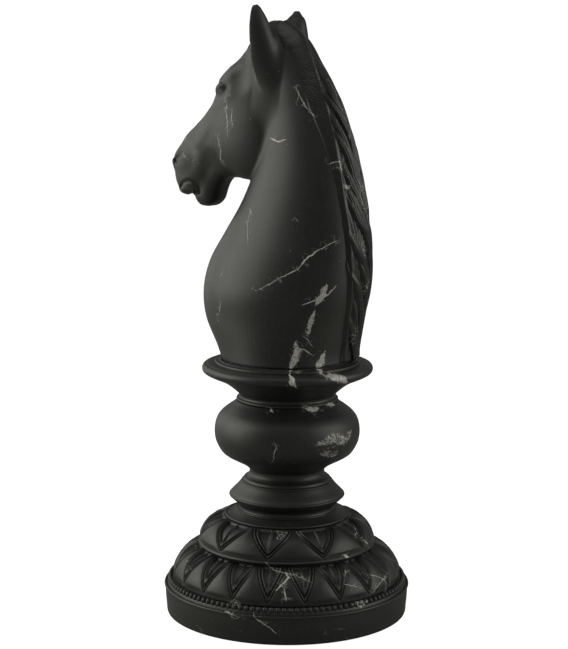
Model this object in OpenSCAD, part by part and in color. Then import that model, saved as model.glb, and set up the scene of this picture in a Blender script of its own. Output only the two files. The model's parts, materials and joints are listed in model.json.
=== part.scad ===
// Giant decorative chess knight: a stack of hollow turned sections carrying a
// hollow horse-head casting, clamped by a central tie rod. Free-standing.
// Units mm. +Z up. Origin: centre of the footprint, on the floor. The horse faces -Y.

/* [View] */
// Node to draw

/* [Plinth] */
// Radius of the plinth at the floor
plinth_foot_r = 215; // [180:1:240]
// Radius of the plinth's top lip, the widest circle of the piece
plinth_lip_r = 220; // [185:1:245]
// Height of the plinth's top ledge
plinth_z = 56; // [45:1:70]
// Number of beads round the ledge
bead_count = 120; // [60:1:160]
// Radius of the circle through the bead centres
bead_ring_r = 209; // [190:0.5:215]
// Width of one bead
bead_w = 9.6; // [6:0.1:12]
// Height of one bead
bead_h = 12; // [8:0.5:16]

/* [Petal tiers] */
// Radius of the lower tier's quarter round
lower_round = 57; // [40:1:70]
// Outer radius at the foot of the lower tier
lower_r = 203; // [190:1:206]
// Height of the seam between the tiers
tier_seam_z = 124; // [115:1:135]
// Outer radius at the foot of the upper tier
upper_r = 158; // [145:1:165]
// Radius of the upper tier's quarter round
upper_round = 50; // [40:1:52]
// Height of the upper tier's top
upper_top_z = 176; // [165:1:185]
// Number of incised darts on the lower tier
lower_darts = 20; // [8:1:30]
// Number of incised darts on the upper tier
upper_darts = 10; // [5:1:20]

/* [Turned stem] */
// Neck radius under the waist ring
waist_neck_r = 87; // [75:1:95]
// Crest radius of the waist ring
waist_crest_r = 103; // [90:1:115]
// Height of the seam above the waist ring
waist_seam_z = 241; // [235:1:250]
// Narrowest radius under the bulb
bulb_foot_r = 67; // [55:1:75]
// Greatest radius of the bulb
bulb_r = 129.4; // [110:0.2:140]
// Height of the bulb's greatest radius
bulb_mid_z = 328; // [315:1:340]
// Height of the seam on top of the bulb
bulb_seam_z = 385; // [375:1:395]
// Radius of the seam on top of the bulb
bulb_seam_r = 91; // [80:0.5:100]
// Radius of the collar's half-round lip
collar_r = 151.6; // [135:0.2:165]
// Height of the collar's top face
collar_top_z = 454; // [445:1:465]
// Radius of the raised disc the neck stands on
seat_r = 129; // [120:1:140]

/* [Knight] */
// Height of the foot of the neck
neck_z = 462; // [455:1:475]
// Radius of the foot of the neck
neck_r = 117; // [105:1:128]
// Forward reach of the chest
chest_fwd = 164; // [140:1:180]
// Height of the chest's fullest point
chest_z = 580; // [550:1:620]
// Half width of the chest
chest_half = 119; // [100:1:130]
// Forward position of the throat
throat_fwd = 66; // [50:1:85]
// Height of the throat
throat_z = 777; // [750:1:800]
// Height of the poll, between the ears
poll_z = 1050; // [1020:1:1070]
// Half width of the head at the brow
brow_half = 58; // [50:1:72]
// Forward reach of the nose
nose_fwd = 234; // [210:1:250]
// Height of the nose's furthest point
nose_z = 806; // [780:1:830]
// Height of the underside of the chin
chin_z = 729; // [715:1:750]
// Height of the ear tips
ear_tip_z = 1077; // [1060:1:1090]
// Sideways position of the ear tips
ear_tip_side = 60; // [45:1:70]
// Wall thickness of the head casting
head_wall = 14; // [8:1:20]

/* [Shells and fasteners] */
// Wall thickness of the turned sections
wall = 10; // [6:0.5:16]
// Radius of the tie rod
rod_r = 6; // [4:0.5:8]
// Height of the tie rod's top end
rod_top_z = 492; // [488:1:500]
// Thread pitch of the tie rod
rod_pitch = 1.75; // [1:0.25:2.5]
// Radius of the filler plug's threaded shank
plug_r = 15; // [10:0.5:20]
// Distance of the filler plug from the axis
plug_at = 115; // [90:1:140]

/* [Hidden] */
run_fit = 0.05;                       // radial running clearance of threaded pairs
gap = 0.3;                            // clearance round static inserts
board_z = 5;                          // underside of the base board
board_t = 12;                         // thickness of the base board
board_r = 204.5;
land_z = board_z + board_t;           // the plinth's land the board is screwed to
land_in_r = 186;                      // inside of the plinth's wall
deck_z = 46;                          // underside of the plinth's deck
well_r = 36;                          // bore of the plinth's central well
seat_t = 6;                           // thickness of the neck seat
seat_z = collar_top_z;
ring_z = seat_z + seat_t;             // underside of the slip ring
core_z = 470;                         // underside of the neck core
core_t = 18;
core_r = 100;
plate_r = 80;
plate_t = 7;
insert_h = 26;                        // length of the rod insert
gasket_t = 2;
dowel_r = 4;
dowel_l = 20;
nut_af = 19;                          // across flats of the M12 nuts
plug_a = 30;                          // direction of the filler plug

// ---------- helpers ----------

// Points of a smooth curve through the given points.
function spline_pt(a, b, c, d, t) = 0.5 * ((2 * b) + (c - a) * t
    + (2 * a - 5 * b + 4 * c - d) * t * t + (3 * b - a - 3 * c + d) * t * t * t);
function smooth(p, n) = let (last = len(p) - 1) concat(
    [for (i = [0 : last - 1]) for (k = [0 : n - 1])
        spline_pt(p[max(i - 1, 0)], p[i], p[i + 1], p[min(i + 2, last)], k / n)],
    [p[last]]);

// Elliptic arc in the profile plane.
function arc(cr, cz, ra, za, a0, a1, n = 10) =
    [for (k = [0 : n]) let (a = a0 + (a1 - a0) * k / n) [cr + ra * cos(a), cz + za * sin(a)]];

// Solid of revolution of a closed profile of [radius, height] points.
module turned(profile) { rotate_extrude($fn = 180) polygon(profile); }

// Flat ring.
module ring(r_out, r_in, z0, h) {
    translate([0, 0, z0]) difference() {
        cylinder(r = r_out, h = h, $fn = 120);
        translate([0, 0, -1]) cylinder(r = r_in, h = h + 2, $fn = 96);
    }
}

// Copies of the children round the axis.
module around(n, r, a0 = 0) {
    for (i = [0 : n - 1]) rotate(a0 + 360 * i / n) translate([r, 0, 0]) children();
}

// Closed skin over a stack of equal rings of points, with a flat cap at each end.
module skin(rings) {
    n = len(rings[0]);
    m = len(rings);
    sides = [for (j = [0 : m - 2]) for (i = [0 : n - 1]) let (k = (i + 1) % n)
        each [[(j + 1) * n + k, j * n + k, j * n + i], [(j + 1) * n + i, (j + 1) * n + k, j * n + i]]];
    caps = [[for (i = [0 : n - 1]) i], [for (i = [n - 1 : -1 : 0]) (m - 1) * n + i]];
    polyhedron(points = [for (r = rings) each r], faces = concat(sides, caps), convexity = 6);
}

// ---------- base, below the deck ----------

// Rubber ring the piece stands on, bonded to the board.
module floor_ring() { color([0.08, 0.08, 0.08]) ring(182, 162, 0, board_z); }

// Plywood board that closes the plinth and holds the ballast in.
module base_board() {
    color([0.55, 0.42, 0.28]) difference() {
        translate([0, 0, board_z]) cylinder(r = board_r, h = board_t, $fn = 180);
        translate([0, 0, board_z - 1]) cylinder(r = well_r - 2, h = board_t + 2, $fn = 96);
        around(8, 195) {
            translate([0, 0, board_z - 1]) cylinder(r = 2.6, h = board_t + 2, $fn = 24);
            translate([0, 0, board_z - 0.01]) cylinder(r1 = 5, r2 = 2.6, h = 3.2, $fn = 24);
        }
        rotate(plug_a) translate([plug_at, 0, board_z - 1]) {
            cylinder(r = 28, h = 7, $fn = 72);
            cylinder(r = 19.1, h = board_t + 2, $fn = 72);
        }
    }
}

// Countersunk screws that hold the board to the plinth.
module board_screws() {
    color([0.6, 0.6, 0.6]) around(8, 195) difference() {
        union() {
            translate([0, 0, board_z + 0.2]) cylinder(r1 = 4.6, r2 = 2.2, h = 2.8, $fn = 32);
            translate([0, 0, board_z + 2.9]) cylinder(r = 2.2, h = 32, $fn = 24);
        }
        for (a = [0, 90]) rotate(a) translate([-2.6, -0.5, board_z]) cube([5.2, 1, 1.8]);
    }
}

// Snap cap over the well through which the clamp nut is tightened.
module access_cap() {
    color([0.1, 0.1, 0.1]) difference() {
        union() {
            translate([0, 0, board_z - 2.5]) cylinder(r = well_r + 3, h = 2.5, $fn = 96);
            translate([0, 0, board_z - 0.5]) cylinder(r = well_r - 2.1, h = 8.5, $fn = 96);
        }
        translate([0, 0, board_z + 0.5]) cylinder(r = well_r - 5, h = 9, $fn = 96);
        for (s = [-1, 1]) translate([-4, s * 30 - 3, board_z - 3]) cube([8, 6, 1.5]);
    }
}

// Threaded bush of the ballast filler, let into the board.
module filler_bush() {
    color([0.85, 0.85, 0.82]) rotate(plug_a) translate([plug_at, 0, 0]) difference() {
        union() {
            translate([0, 0, board_z + 3]) cylinder(r = 27, h = 3, $fn = 72);
            translate([0, 0, board_z + 3]) cylinder(r = 19, h = 19, $fn = 72);
        }
        translate([0, 0, board_z]) cylinder(r = plug_r + run_fit, h = 24, $fn = 72);
    }
}

// Screw plug of the ballast filler, with a cross slot for a coin or a bar.
module filler_plug() {
    color([0.12, 0.12, 0.12]) rotate(plug_a) translate([plug_at, 0, 0]) difference() {
        union() {
            translate([0, 0, board_z - 3.2]) cylinder(r = 24, h = 4.6, $fn = 72);
            translate([0, 0, board_z]) cylinder(r = plug_r, h = 20, $fn = 72);
        }
        for (a = [0, 90]) rotate(a) translate([-16, -1.5, board_z - 4]) cube([32, 3, 3.2]);
        translate([0, 0, board_z + 6]) cylinder(r = plug_r - 3, h = 20, $fn = 48);
    }
}

// Flat seal under the head of the filler plug.
module plug_seal() {
    color([0.05, 0.05, 0.05]) rotate(plug_a) translate([plug_at, 0, 0])
        ring(22, plug_r + run_fit, board_z + 1.4, 1.6);
}

// Dry sand that fills the plinth between the board and the deck.
module ballast_fill() {
    color([0.76, 0.68, 0.5]) difference() {
        translate([0, 0, land_z]) cylinder(r = land_in_r - gap, h = deck_z - land_z - gap, $fn = 180);
        translate([0, 0, land_z - 1]) cylinder(r = well_r + 8 + gap, h = deck_z, $fn = 96);
        rotate(plug_a) translate([plug_at, 0, land_z - 1]) cylinder(r = 20, h = 13, $fn = 72);
    }
}

// ---------- turned sections ----------

// Slightly flared drum with a deck, a central well and a crisp top lip.
module plinth() {
    color([0.12, 0.12, 0.115]) difference() {
        turned(concat(
            [[board_r + 0.5, 2], [plinth_foot_r - 1.5, 2], [plinth_foot_r, 3.5]],
            smooth([[plinth_foot_r + 0.6, 8], [plinth_foot_r + 2.4, 30], [plinth_lip_r - 2, 49]], 4),
            arc(plinth_lip_r - 2.2, plinth_z - 4.4, 2.2, 2.2, -60, 100, 7),
            [[plinth_lip_r - 3.4, plinth_z - 1.6], [bead_ring_r + 6, plinth_z - 1.6],
             [bead_ring_r + 6, plinth_z - 4], [bead_ring_r - 7, plinth_z - 4],
             [bead_ring_r - 7, plinth_z], [rod_r + 1, plinth_z], [rod_r + 1, deck_z],
             [well_r, deck_z], [well_r, land_z], [well_r + 8, land_z], [well_r + 8, deck_z],
             [land_in_r, deck_z], [land_in_r, land_z], [board_r + 0.5, land_z]]));
        around(8, 195) translate([0, 0, land_z - 1]) cylinder(r = 2.25, h = 25, $fn = 24);
        translate([0, 0, plinth_z]) seam_holes(180, 194, 190);
    }
}

// Beaded moulding: a plain strip let into the ledge, carrying a bead every few degrees.
module bead_ring() {
    color([0.13, 0.13, 0.125]) {
        rotate_extrude($fn = bead_count) polygon([[bead_ring_r - 5.6, plinth_z - 3.8],
            [bead_ring_r + 5.6, plinth_z - 3.8], [bead_ring_r + 5.6, plinth_z - 1.4],
            [bead_ring_r + 1, plinth_z + 1], [bead_ring_r - 2.5, plinth_z + 9],
            [bead_ring_r - 5.6, plinth_z + 9]]);
        around(bead_count, bead_ring_r) translate([0, 0, plinth_z + 5]) bead();
    }
}

// One bead: an egg standing on end, coarse enough to keep the whole ring light.
module bead() {
    hull() for (g = [[0.5, 1], [1, 0.5]])
        translate([0, 0, -g[1] * bead_h / 2]) cylinder(r = g[0] * bead_w / 2, h = g[1] * bead_h, $fn = 8);
}

// Holes for the locating dowels and the gasket groove in the face below a seam.
module seam_holes(dowel_at, gasket_out, gasket_in) {
    around(2, dowel_at, 90) translate([0, 0, -dowel_l / 2])
        cylinder(r = dowel_r + run_fit, h = dowel_l, $fn = 32);
    translate([0, 0, -gasket_t]) difference() {
        cylinder(r = gasket_out, h = gasket_t + 1, $fn = 120);
        translate([0, 0, -1]) cylinder(r = gasket_in, h = gasket_t + 3, $fn = 120);
    }
}

// Holes for the locating dowels in the face above a seam.
module dowel_holes(dowel_at) {
    around(2, dowel_at, 90) translate([0, 0, -1])
        cylinder(r = dowel_r + run_fit, h = dowel_l / 2 + 1, $fn = 32);
}

// Recessed V darts round a tier: point down, opening towards the tier's top.
// Each is the hollow between two planes that meet on the dart's centre line.
module darts(n, foot, top, spread, deep, phase) {
    w = top[0] * sin(spread);
    for (i = [0 : n - 1]) rotate(phase + 360 * i / n) polyhedron(
        points = [[foot[0] - 1, 0, foot[1] - 2], [top[0] - deep, 0, top[1] - deep],
            [top[0] + 2, w, top[1] + 1], [top[0] + 40, w, top[1] + 40],
            [top[0] + 40, -w, top[1] + 40], [top[0] + 2, -w, top[1] + 1],
            [foot[0] + 30, 0, foot[1] - 2]],
        faces = [[0, 2, 1], [0, 1, 5], [0, 6, 3, 2], [0, 5, 4, 6], [6, 4, 3], [1, 2, 5], [2, 3, 4, 5]]);
}

// Quarter round in the profile plane, from the outer foot to the top.
module quarter(c, r) {
    intersection() {
        translate(c) circle(r = r, $fn = 96);
        translate([c[0] - 1, c[1]]) square(r + 2);
    }
}

// Lower petal tier: a quarter round, hollow underneath.
module lower_tier() {
    c = [lower_r - lower_round, 66];
    color([0.12, 0.12, 0.115]) difference() {
        rotate_extrude($fn = 180) difference() {
            union() {
                quarter(c, lower_round);
                translate([c[0] - 1, plinth_z]) square([lower_round - 1.4, 10.01]);
                translate([118, tier_seam_z - wall]) square([44, wall - 1]);
                translate([118, tier_seam_z - 2]) square([upper_r - 119, 2]);
            }
            quarter([c[0], 62], lower_round - wall);
            translate([c[0] - 3, plinth_z - 1]) square([24, 20]);
            translate([100, 30]) square([c[0] - 100.5, tier_seam_z - wall - 30]);
        }
        translate([0, 0, tier_seam_z]) seam_holes(130, 153, 147);
        translate([0, 0, plinth_z]) dowel_holes(180);
        darts(lower_darts, [c[0] + lower_round * cos(14), 66 + lower_round * sin(14)],
            [c[0] + lower_round * cos(68), 66 + lower_round * sin(68)], 6.2, 3, 10);
    }
}

// Upper petal tier: a smaller quarter round, closed on top by a flange.
module upper_tier() {
    c = [upper_r - 1 - upper_round, upper_top_z - upper_round];
    color([0.12, 0.12, 0.115]) difference() {
        rotate_extrude($fn = 180) difference() {
            union() {
                quarter(c, upper_round);
                translate([118, tier_seam_z]) square([upper_r - 119.4, 5]);
                translate([52, upper_top_z - wall]) square([c[0] - 51, wall]);
            }
            quarter([c[0], c[1] - 1], upper_round - wall + 1);
            translate([118, tier_seam_z + wall]) square([10, 20]);
        }
        translate([0, 0, upper_top_z]) seam_holes(66, 98, 92);
        translate([0, 0, tier_seam_z]) dowel_holes(130);
        darts(upper_darts, [c[0] + upper_round * cos(16), c[1] + upper_round * sin(16)],
            [c[0] + upper_round * cos(68), c[1] + upper_round * sin(68)], 11.5, 3.4, 25);
    }
}

// Waist: sloping foot, short neck and a sharp-crested ring.
module waist_ring() {
    color([0.12, 0.12, 0.115]) difference() {
        turned(concat(
            [[52, upper_top_z], [107, upper_top_z], [107.4, upper_top_z + 1.6]],
            smooth([[104, upper_top_z + 3], [97, 182.5], [91, 187], [waist_neck_r + 0.2, 192.5],
                [waist_neck_r + 0.6, 197], [92, 202.5], [98, 208], [waist_crest_r - 0.8, 213.2]], 3),
            [[waist_crest_r + 0.3, 214.6], [waist_crest_r - 1, 216.4]],
            smooth([[98.5, 220.2], [90, 228.6], [83.5, 236.6]], 3),
            [[81.6, 238], [81.6, 239.2], [80, waist_seam_z], [30, waist_seam_z],
             [30, waist_seam_z - wall], [70, waist_seam_z - wall], [76, 214], [74, 200],
             [76, upper_top_z + wall], [52, upper_top_z + wall]]));
        translate([0, 0, waist_seam_z]) seam_holes(40, 60, 54);
        translate([0, 0, upper_top_z]) dowel_holes(66);
    }
}

// Bulb: the stem's full round, on a narrow foot.
module bulb() {
    color([0.12, 0.12, 0.115]) difference() {
        turned(concat(
            [[30, waist_seam_z], [78.6, waist_seam_z]],
            smooth([[77.6, 244], [71.6, 248.2], [bulb_foot_r + 0.4, 253], [bulb_foot_r + 0.2, 260],
                [70.5, 264.4], [80, 272], [94.6, 280], [109.2, 288], [118.2, 296], [126.6, 312],
                [bulb_r, bulb_mid_z], [bulb_r - 1.4, 344], [124.4, 356], [116.5, 365], [106, 373],
                [97, 379.6]], 3),
            [[bulb_seam_r + 1.5, 383], [bulb_seam_r, bulb_seam_z], [32, bulb_seam_z],
             [32, bulb_seam_z - wall]],
            smooth([[86, 375], [104, 362], [116, 346], [119, 328], [114, 308], [100, 292],
                [74, 276], [58, 264], [56, waist_seam_z + wall]], 3),
            [[30, waist_seam_z + wall]]));
        translate([0, 0, bulb_seam_z]) seam_holes(52, 78, 72);
        translate([0, 0, waist_seam_z]) dowel_holes(40);
    }
}

// Collar: a stem with a ring at its foot, flaring to a half-round lip.
module collar() {
    lip = 8.4;
    color([0.12, 0.12, 0.115]) difference() {
        turned(concat(
            [[32, bulb_seam_z], [bulb_seam_r - 2.6, bulb_seam_z]],
            arc(bulb_seam_r - 4.6, bulb_seam_z + 3.6, 3.6, 3.2, -60, 80, 7),
            smooth([[86.4, bulb_seam_z + 7.4], [86, 396], [89, 400.6], [97, 408], [106.4, 416],
                [119.6, 424], [137, 431.4], [collar_r - 7, 435]], 3),
            arc(collar_r - lip, 443.6, lip, lip, -70, 90, 12),
            [[145.4, 452], [145.4, collar_top_z - 3], [143.6, collar_top_z - 3], [143.2, collar_top_z],
             [seat_r + 0.3, collar_top_z], [seat_r + 0.3, collar_top_z - 1], [30, collar_top_z - 1],
             [30, 440], [rod_r + 1, 440], [rod_r + 1, 426], [100, 426]],
            smooth([[94, 420], [82, 409], [76, 398]], 3),
            [[76, bulb_seam_z + wall], [32, bulb_seam_z + wall]]));
        translate([0, 0, bulb_seam_z]) dowel_holes(52);
    }
}

// Raised disc in the collar's recess that the neck turns on.
module neck_seat() {
    color([0.12, 0.12, 0.115]) turned([[32, seat_z - 1], [seat_r, seat_z - 1], [seat_r, seat_z + 2.4],
        [seat_r - 2, seat_z + 4], [neck_r + 5, seat_z + 4.6], [neck_r + 3.6, ring_z], [32, ring_z]]);
}

// ---------- seam hardware and clamp ----------

// Foam gaskets in the grooves of the five seams.
module section_gaskets() {
    color([0.2, 0.2, 0.2]) for (g = [[194, 190, plinth_z], [153, 147, tier_seam_z],
        [98, 92, upper_top_z], [60, 54, waist_seam_z], [78, 72, bulb_seam_z]])
        ring(g[0] - run_fit, g[1] + run_fit, g[2] - gasket_t, gasket_t);
}

// Dowels that stop the sections turning on each other.
module locating_dowels() {
    color([0.75, 0.6, 0.4]) for (g = [[180, plinth_z], [130, tier_seam_z], [66, upper_top_z],
        [40, waist_seam_z], [52, bulb_seam_z]])
        around(2, g[0], 90) translate([0, 0, g[1] - dowel_l / 2 + gap])
            cylinder(r = dowel_r, h = dowel_l - 2 * gap, $fn = 32);
}

// Threaded rod through the whole stack.
module tie_rod() {
    color([0.7, 0.7, 0.7]) union() {
        translate([0, 0, 24]) cylinder(r1 = rod_r - 1, r2 = rod_r, h = 1.01, $fn = 48);
        translate([0, 0, 25]) cylinder(r = rod_r, h = rod_top_z - 26, $fn = 48);
        translate([0, 0, rod_top_z - 1.01]) cylinder(r1 = rod_r, r2 = rod_r - 1, h = 1.01, $fn = 48);
    }
}

// Thick plate that spreads the clamp load under the deck.
module spreader_plate() { color([0.6, 0.6, 0.62]) ring(well_r - 2, rod_r + run_fit, deck_z - 5, 5); }

// Spring lock washer between the plate and the nut.
module lock_washer() {
    color([0.6, 0.6, 0.62]) difference() {
        ring(10.5, rod_r + 0.3, deck_z - 8, 3);
        translate([rod_r - 1, -0.8, deck_z - 9]) cube([8, 1.6, 5]);
    }
}

// Hexagon nut, bored to the rod's thread.
module hex_nut(z0, h, af = nut_af) {
    translate([0, 0, z0]) difference() {
        cylinder(r = af / sqrt(3), h = h, $fn = 6);
        translate([0, 0, -1]) cylinder(r = rod_r + run_fit, h = h + 2, $fn = 48);
    }
}

// Nut under the plinth's deck that pulls the stack together.
module clamp_nut() { color([0.7, 0.7, 0.7]) hex_nut(deck_z - 18, 10); }

// Washer and nut in the collar's top recess.
module top_washer() { color([0.6, 0.6, 0.62]) ring(18, rod_r + 0.3, 440, 3); }
module top_nut() { color([0.7, 0.7, 0.7]) hex_nut(443, 10); }

// ---------- knight ----------

// Thin ring between the neck and its seat.
module slip_ring() { color([0.1, 0.1, 0.1]) ring(neck_r - 3, 90, ring_z, neck_z - ring_z); }

// Value at a real-numbered place u along a list of stations.
function along(p, u) = let (last = len(p) - 1, i = min(max(floor(u), 0), last - 1))
    spline_pt(p[max(i - 1, 0)], p[i], p[i + 1], p[min(i + 2, last)], u - i);

// Point on the horse's skin at angle a of a station: 0 front, 90 left, 180 back, 270 right.
// s = [front forward, front height, back forward, back height, half width, fullness, lean]
function skin_pt(s, a, out = 0) = let (
    f = [s[0], s[1]], b = [s[2], s[3]], mid = (f + b) / 2, half = (f - b) / 2,
    reach = max(norm(half) + out, 2), w = max(s[4] + out, 2), c = cos(a), q = sin(a),
    p = mid + half / norm(half) * sign(c) * pow(abs(c), s[5]) * reach)
    [sign(q) * pow(abs(q), s[5]) * w * (1 + s[6] * c), -p[0], p[1]];
function head_ring(s, n, out = 0) = [for (i = [0 : n - 1]) skin_pt(s, 360 * i / n, out)];

// Stations of the horse from the foot of the neck to the lips.
STATIONS = [
    [neck_r, neck_z, -neck_r, neck_z, neck_r, 1, 0],
    [neck_r + 12, neck_z + 22, -neck_r - 4, neck_z + 24, 116, 1, 0],
    [chest_fwd - 6, chest_z - 50, -133, chest_z - 44, chest_half - 4, 1, 0],
    [chest_fwd, chest_z, -147, chest_z + 10, chest_half - 1, 1, 0],
    [chest_fwd - 12, chest_z + 50, -152, chest_z + 70, 107, 0.98, 0],
    [121, 681, -150, 705, 92, 0.97, 0],
    [86, 735, -139, 770, 79, 0.96, 0.02],
    [throat_fwd, throat_z, -122, 838, 69, 0.95, 0.04],
    [throat_fwd + 4, throat_z + 7, -101, 907, 62, 0.94, 0.06],
    [throat_fwd + 12, throat_z + 10, -72, 968, 57, 0.94, 0.06],
    [throat_fwd + 24, throat_z + 9, -34, 1018, 55, 0.93, 0.06],
    [throat_fwd + 38, throat_z + 6, 14, poll_z - 5, 54, 0.92, 0.04],
    [120, 779, 68, poll_z - 42, 58, 0.9, -0.04],
    [134, 779, 111, 962, brow_half - 1, 0.88, -0.1],
    [145, 777, 149, 918, brow_half - 9, 0.9, -0.02],
    [153, 767, 184, 884, 44, 0.92, 0.02],
    [161, 755, 214, 856, 38, 0.92, 0.04],
    [166, 744, nose_fwd + 1, nose_z + 20, 37, 0.9, 0],
    [172, 734, nose_fwd + 6, nose_z - 18, 36, 0.9, -0.04],
    [184, chin_z, nose_fwd - 4, chin_z + 25, 30, 0.95, 0],
    [196, chin_z, nose_fwd - 20, chin_z + 11, 16, 1, 0]];
POLL = 11;                            // station between the ears

// Neck and head without ears or mane.
module head_body(n, steps) {
    skin([for (s = smooth(STATIONS, steps)) head_ring(s, n)]);
}

// Leaf-shaped ear, hollowed in front; side is +1 on the horse's left.
module ear(side) {
    rows = 9;
    base_z = poll_z - 62;
    skin([for (k = [0 : rows]) let (t = k / rows,
        w = 24 * pow(sin(20 + 160 * t), 0.75) * (1 - 0.35 * t) + 0.6,
        d = 13 * (1 - 0.8 * t), fwd = 24 + 7 * t + 9 * sin(180 * t),
        c = [side * (32 + (ear_tip_side - 32) * pow(t, 0.8)), -fwd, base_z + (ear_tip_z - base_z) * t])
        [for (i = [0 : 13]) let (a = 360 * i / 14, q = sin(a))
            c + [w * cos(a), (q > 0 ? 1 : -0.15 + 0.5 * abs(cos(a))) * d * q, 0]]]);
}

// Mane: a thickened band over the back of the neck, ridged into slanting locks.
// It starts at a ridge on the horse's left and falls to its right.
module mane() {
    rows = 60;
    across = 13;
    skin([for (k = [0 : rows]) let (u = 0.25 + (POLL + 0.5 - 0.25) * k / rows, s = along(STATIONS, u),
        from = 152 - 4 * sin(180 * k / rows), to = 262 - 30 * pow(k / rows, 2))
        concat([for (i = [0 : across]) let (t = i / across, a = from + (to - from) * t,
                edge = pow(sin(180 * min(max(t, 0.04), 0.96)), 0.35), ridge = abs(sin(26 * k + 150 * t)))
                skin_pt(s, a, (3.5 + 6 * ridge) * edge * (k == 0 || k == rows ? 0.2 : 1) - 1)],
            [for (i = [6 : -1 : 0]) skin_pt(s, from + 6 + (to - from - 12) * i / 6, -6)])]);
    for (k = [0 : 9]) lock(1.2 + 0.98 * k, 238 - 2.4 * k, 58 - 2 * k);
    forelock();
}

// One lock of the mane lying along the skin: it starts at place u and angle a,
// sweeps round by turn degrees while it falls, and ends in a free tip.
module lock(u, a, turn) {
    rows = 7;
    skin([for (k = [0 : rows]) let (t = k / rows, b = sin(180 * min(t + 0.12, 1)),
        c = skin_pt(along(STATIONS, u - 0.85 * t), a + turn * (t - 0.45), 3 + 3 * sin(180 * t)),
        w = 15 * b + 1, h = 6 * b + 1)
        [for (i = [0 : 7]) let (g = -45 * i)
            c + [-h * cos(g) * 0.8, -w * sin(g) * 0.55, w * sin(g) * 0.9]]]);
}

// Short lock between the ears, combed forward.
module forelock() {
    rows = 6;
    skin([for (k = [0 : rows]) let (t = k / rows, s = along(STATIONS, POLL - 0.6 + 2 * t),
        c = skin_pt(s, 180 + 4 * sin(180 * t), -2 + 5 * sin(180 * (0.15 + 0.8 * t))),
        w = 17 * sin(25 + 150 * t) + 1)
        [for (i = [0 : 7]) let (g = 45 * i) c + [w * cos(g), -0.5 * w * sin(g) * 0.8, 0.5 * w * sin(g)]]]);
}

// Rounded lump; every lump is a hull so that the head stays one light mesh.
module lump(p, tilt, size, n) { translate(p) rotate(tilt) hull() scale(size) sphere(r = 1, $fn = n); }

// Brow, eye, nostril rim and jowl, each side of the face.
module face_details() {
    for (s = [-1, 1]) {
        lump([s * 50, -108, 936], [28, 0, 0], [6, 11, 6.5], 16);
        lump([s * 44, -98, 953], [-52, 0, s * 8], [11, 8, 24], 16);
        lump([s * 26, -98, 846], [-14, 0, 0], [30, 46, 62], 24);
        lump([s * 27, -226, 797], [-30, 0, 0], [10, 11, 19], 16);
    }
}

// Incisions of the face: nostrils and the line of the mouth.
module face_cuts() {
    for (s = [-1, 1]) lump([s * 39, -232, 796], [-20, 0, s * 24], [7, 5.5, 9], 12);
    translate([-60, -260, 757]) rotate([-14, 0, 0]) cube([120, 72, 2.6]);
}

// Hollow horse head and neck with ears and mane, cast in one.
module knight_head() {
    color([0.12, 0.12, 0.115]) difference() {
        union() {
            head_body(36, 2);
            for (s = [-1, 1]) ear(s);
            mane();
            face_details();
        }
        face_cuts();
        head_cavity();
        translate([0, 0, neck_z - 1])
            cylinder(r = core_r + gap, h = core_z + core_t + 14 - neck_z, $fn = 96);
    }
}

// Inside of the casting, from above the neck core up to the forehead.
module head_cavity() {
    inner = smooth([for (k = [1 : len(STATIONS) - 6]) STATIONS[k]], 2);
    skin([for (s = inner) head_ring(s, 20, -head_wall)]);
}

// Turned disc bonded into the neck that carries the anchor plate.
module neck_core() {
    color([0.5, 0.4, 0.28]) difference() {
        translate([0, 0, core_z]) cylinder(r = core_r, h = core_t, $fn = 96);
        translate([0, 0, core_z - 1]) cylinder(r = 14, h = core_t + 2, $fn = 48);
        around(6, 60) translate([0, 0, core_z - 1]) cylinder(r = 2.55, h = core_t + 2, $fn = 24);
    }
}

// Steel plate screwed under the neck core.
module anchor_plate() {
    color([0.6, 0.6, 0.62]) difference() {
        translate([0, 0, core_z - plate_t]) cylinder(r = plate_r, h = plate_t, $fn = 96);
        translate([0, 0, core_z - plate_t - 1]) cylinder(r = rod_r + 0.5, h = plate_t + 2, $fn = 48);
        around(6, 60) {
            translate([0, 0, core_z - plate_t - 1]) cylinder(r = 3.2, h = plate_t + 2, $fn = 24);
            translate([0, 0, core_z - plate_t - 0.01]) cylinder(r1 = 6.2, r2 = 3.2, h = 3.2, $fn = 32);
        }
    }
}

// Long hexagon insert welded to the plate; the tie rod screws into it.
module rod_insert() { color([0.65, 0.65, 0.67]) hex_nut(core_z, insert_h); }

// Countersunk screws through the plate into the core.
module anchor_screws() {
    color([0.6, 0.6, 0.6]) around(6, 60) difference() {
        union() {
            translate([0, 0, core_z - plate_t + 0.2]) cylinder(r1 = 5.8, r2 = 2.5, h = 3, $fn = 32);
            translate([0, 0, core_z - plate_t + 3]) cylinder(r = 2.5, h = 21, $fn = 24);
        }
        translate([0, 0, core_z - plate_t - 1]) cylinder(r = 2, h = 3.4, $fn = 6);
    }
}

floor_ring();
base_board();
board_screws();
access_cap();
filler_bush();
filler_plug();
plug_seal();
ballast_fill();
plinth();
bead_ring();
lower_tier();
upper_tier();
waist_ring();
bulb();
collar();
neck_seat();
section_gaskets();
locating_dowels();
tie_rod();
spreader_plate();
lock_washer();
clamp_nut();
top_washer();
top_nut();
slip_ring();
knight_head();
neck_core();
anchor_plate();
rod_insert();
anchor_screws();
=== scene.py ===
import itertools
import json
import math

import bpy
import numpy as np
import openvdb as vdb
from mathutils import Matrix, Vector
from mathutils.bvhtree import BVHTree


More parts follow.
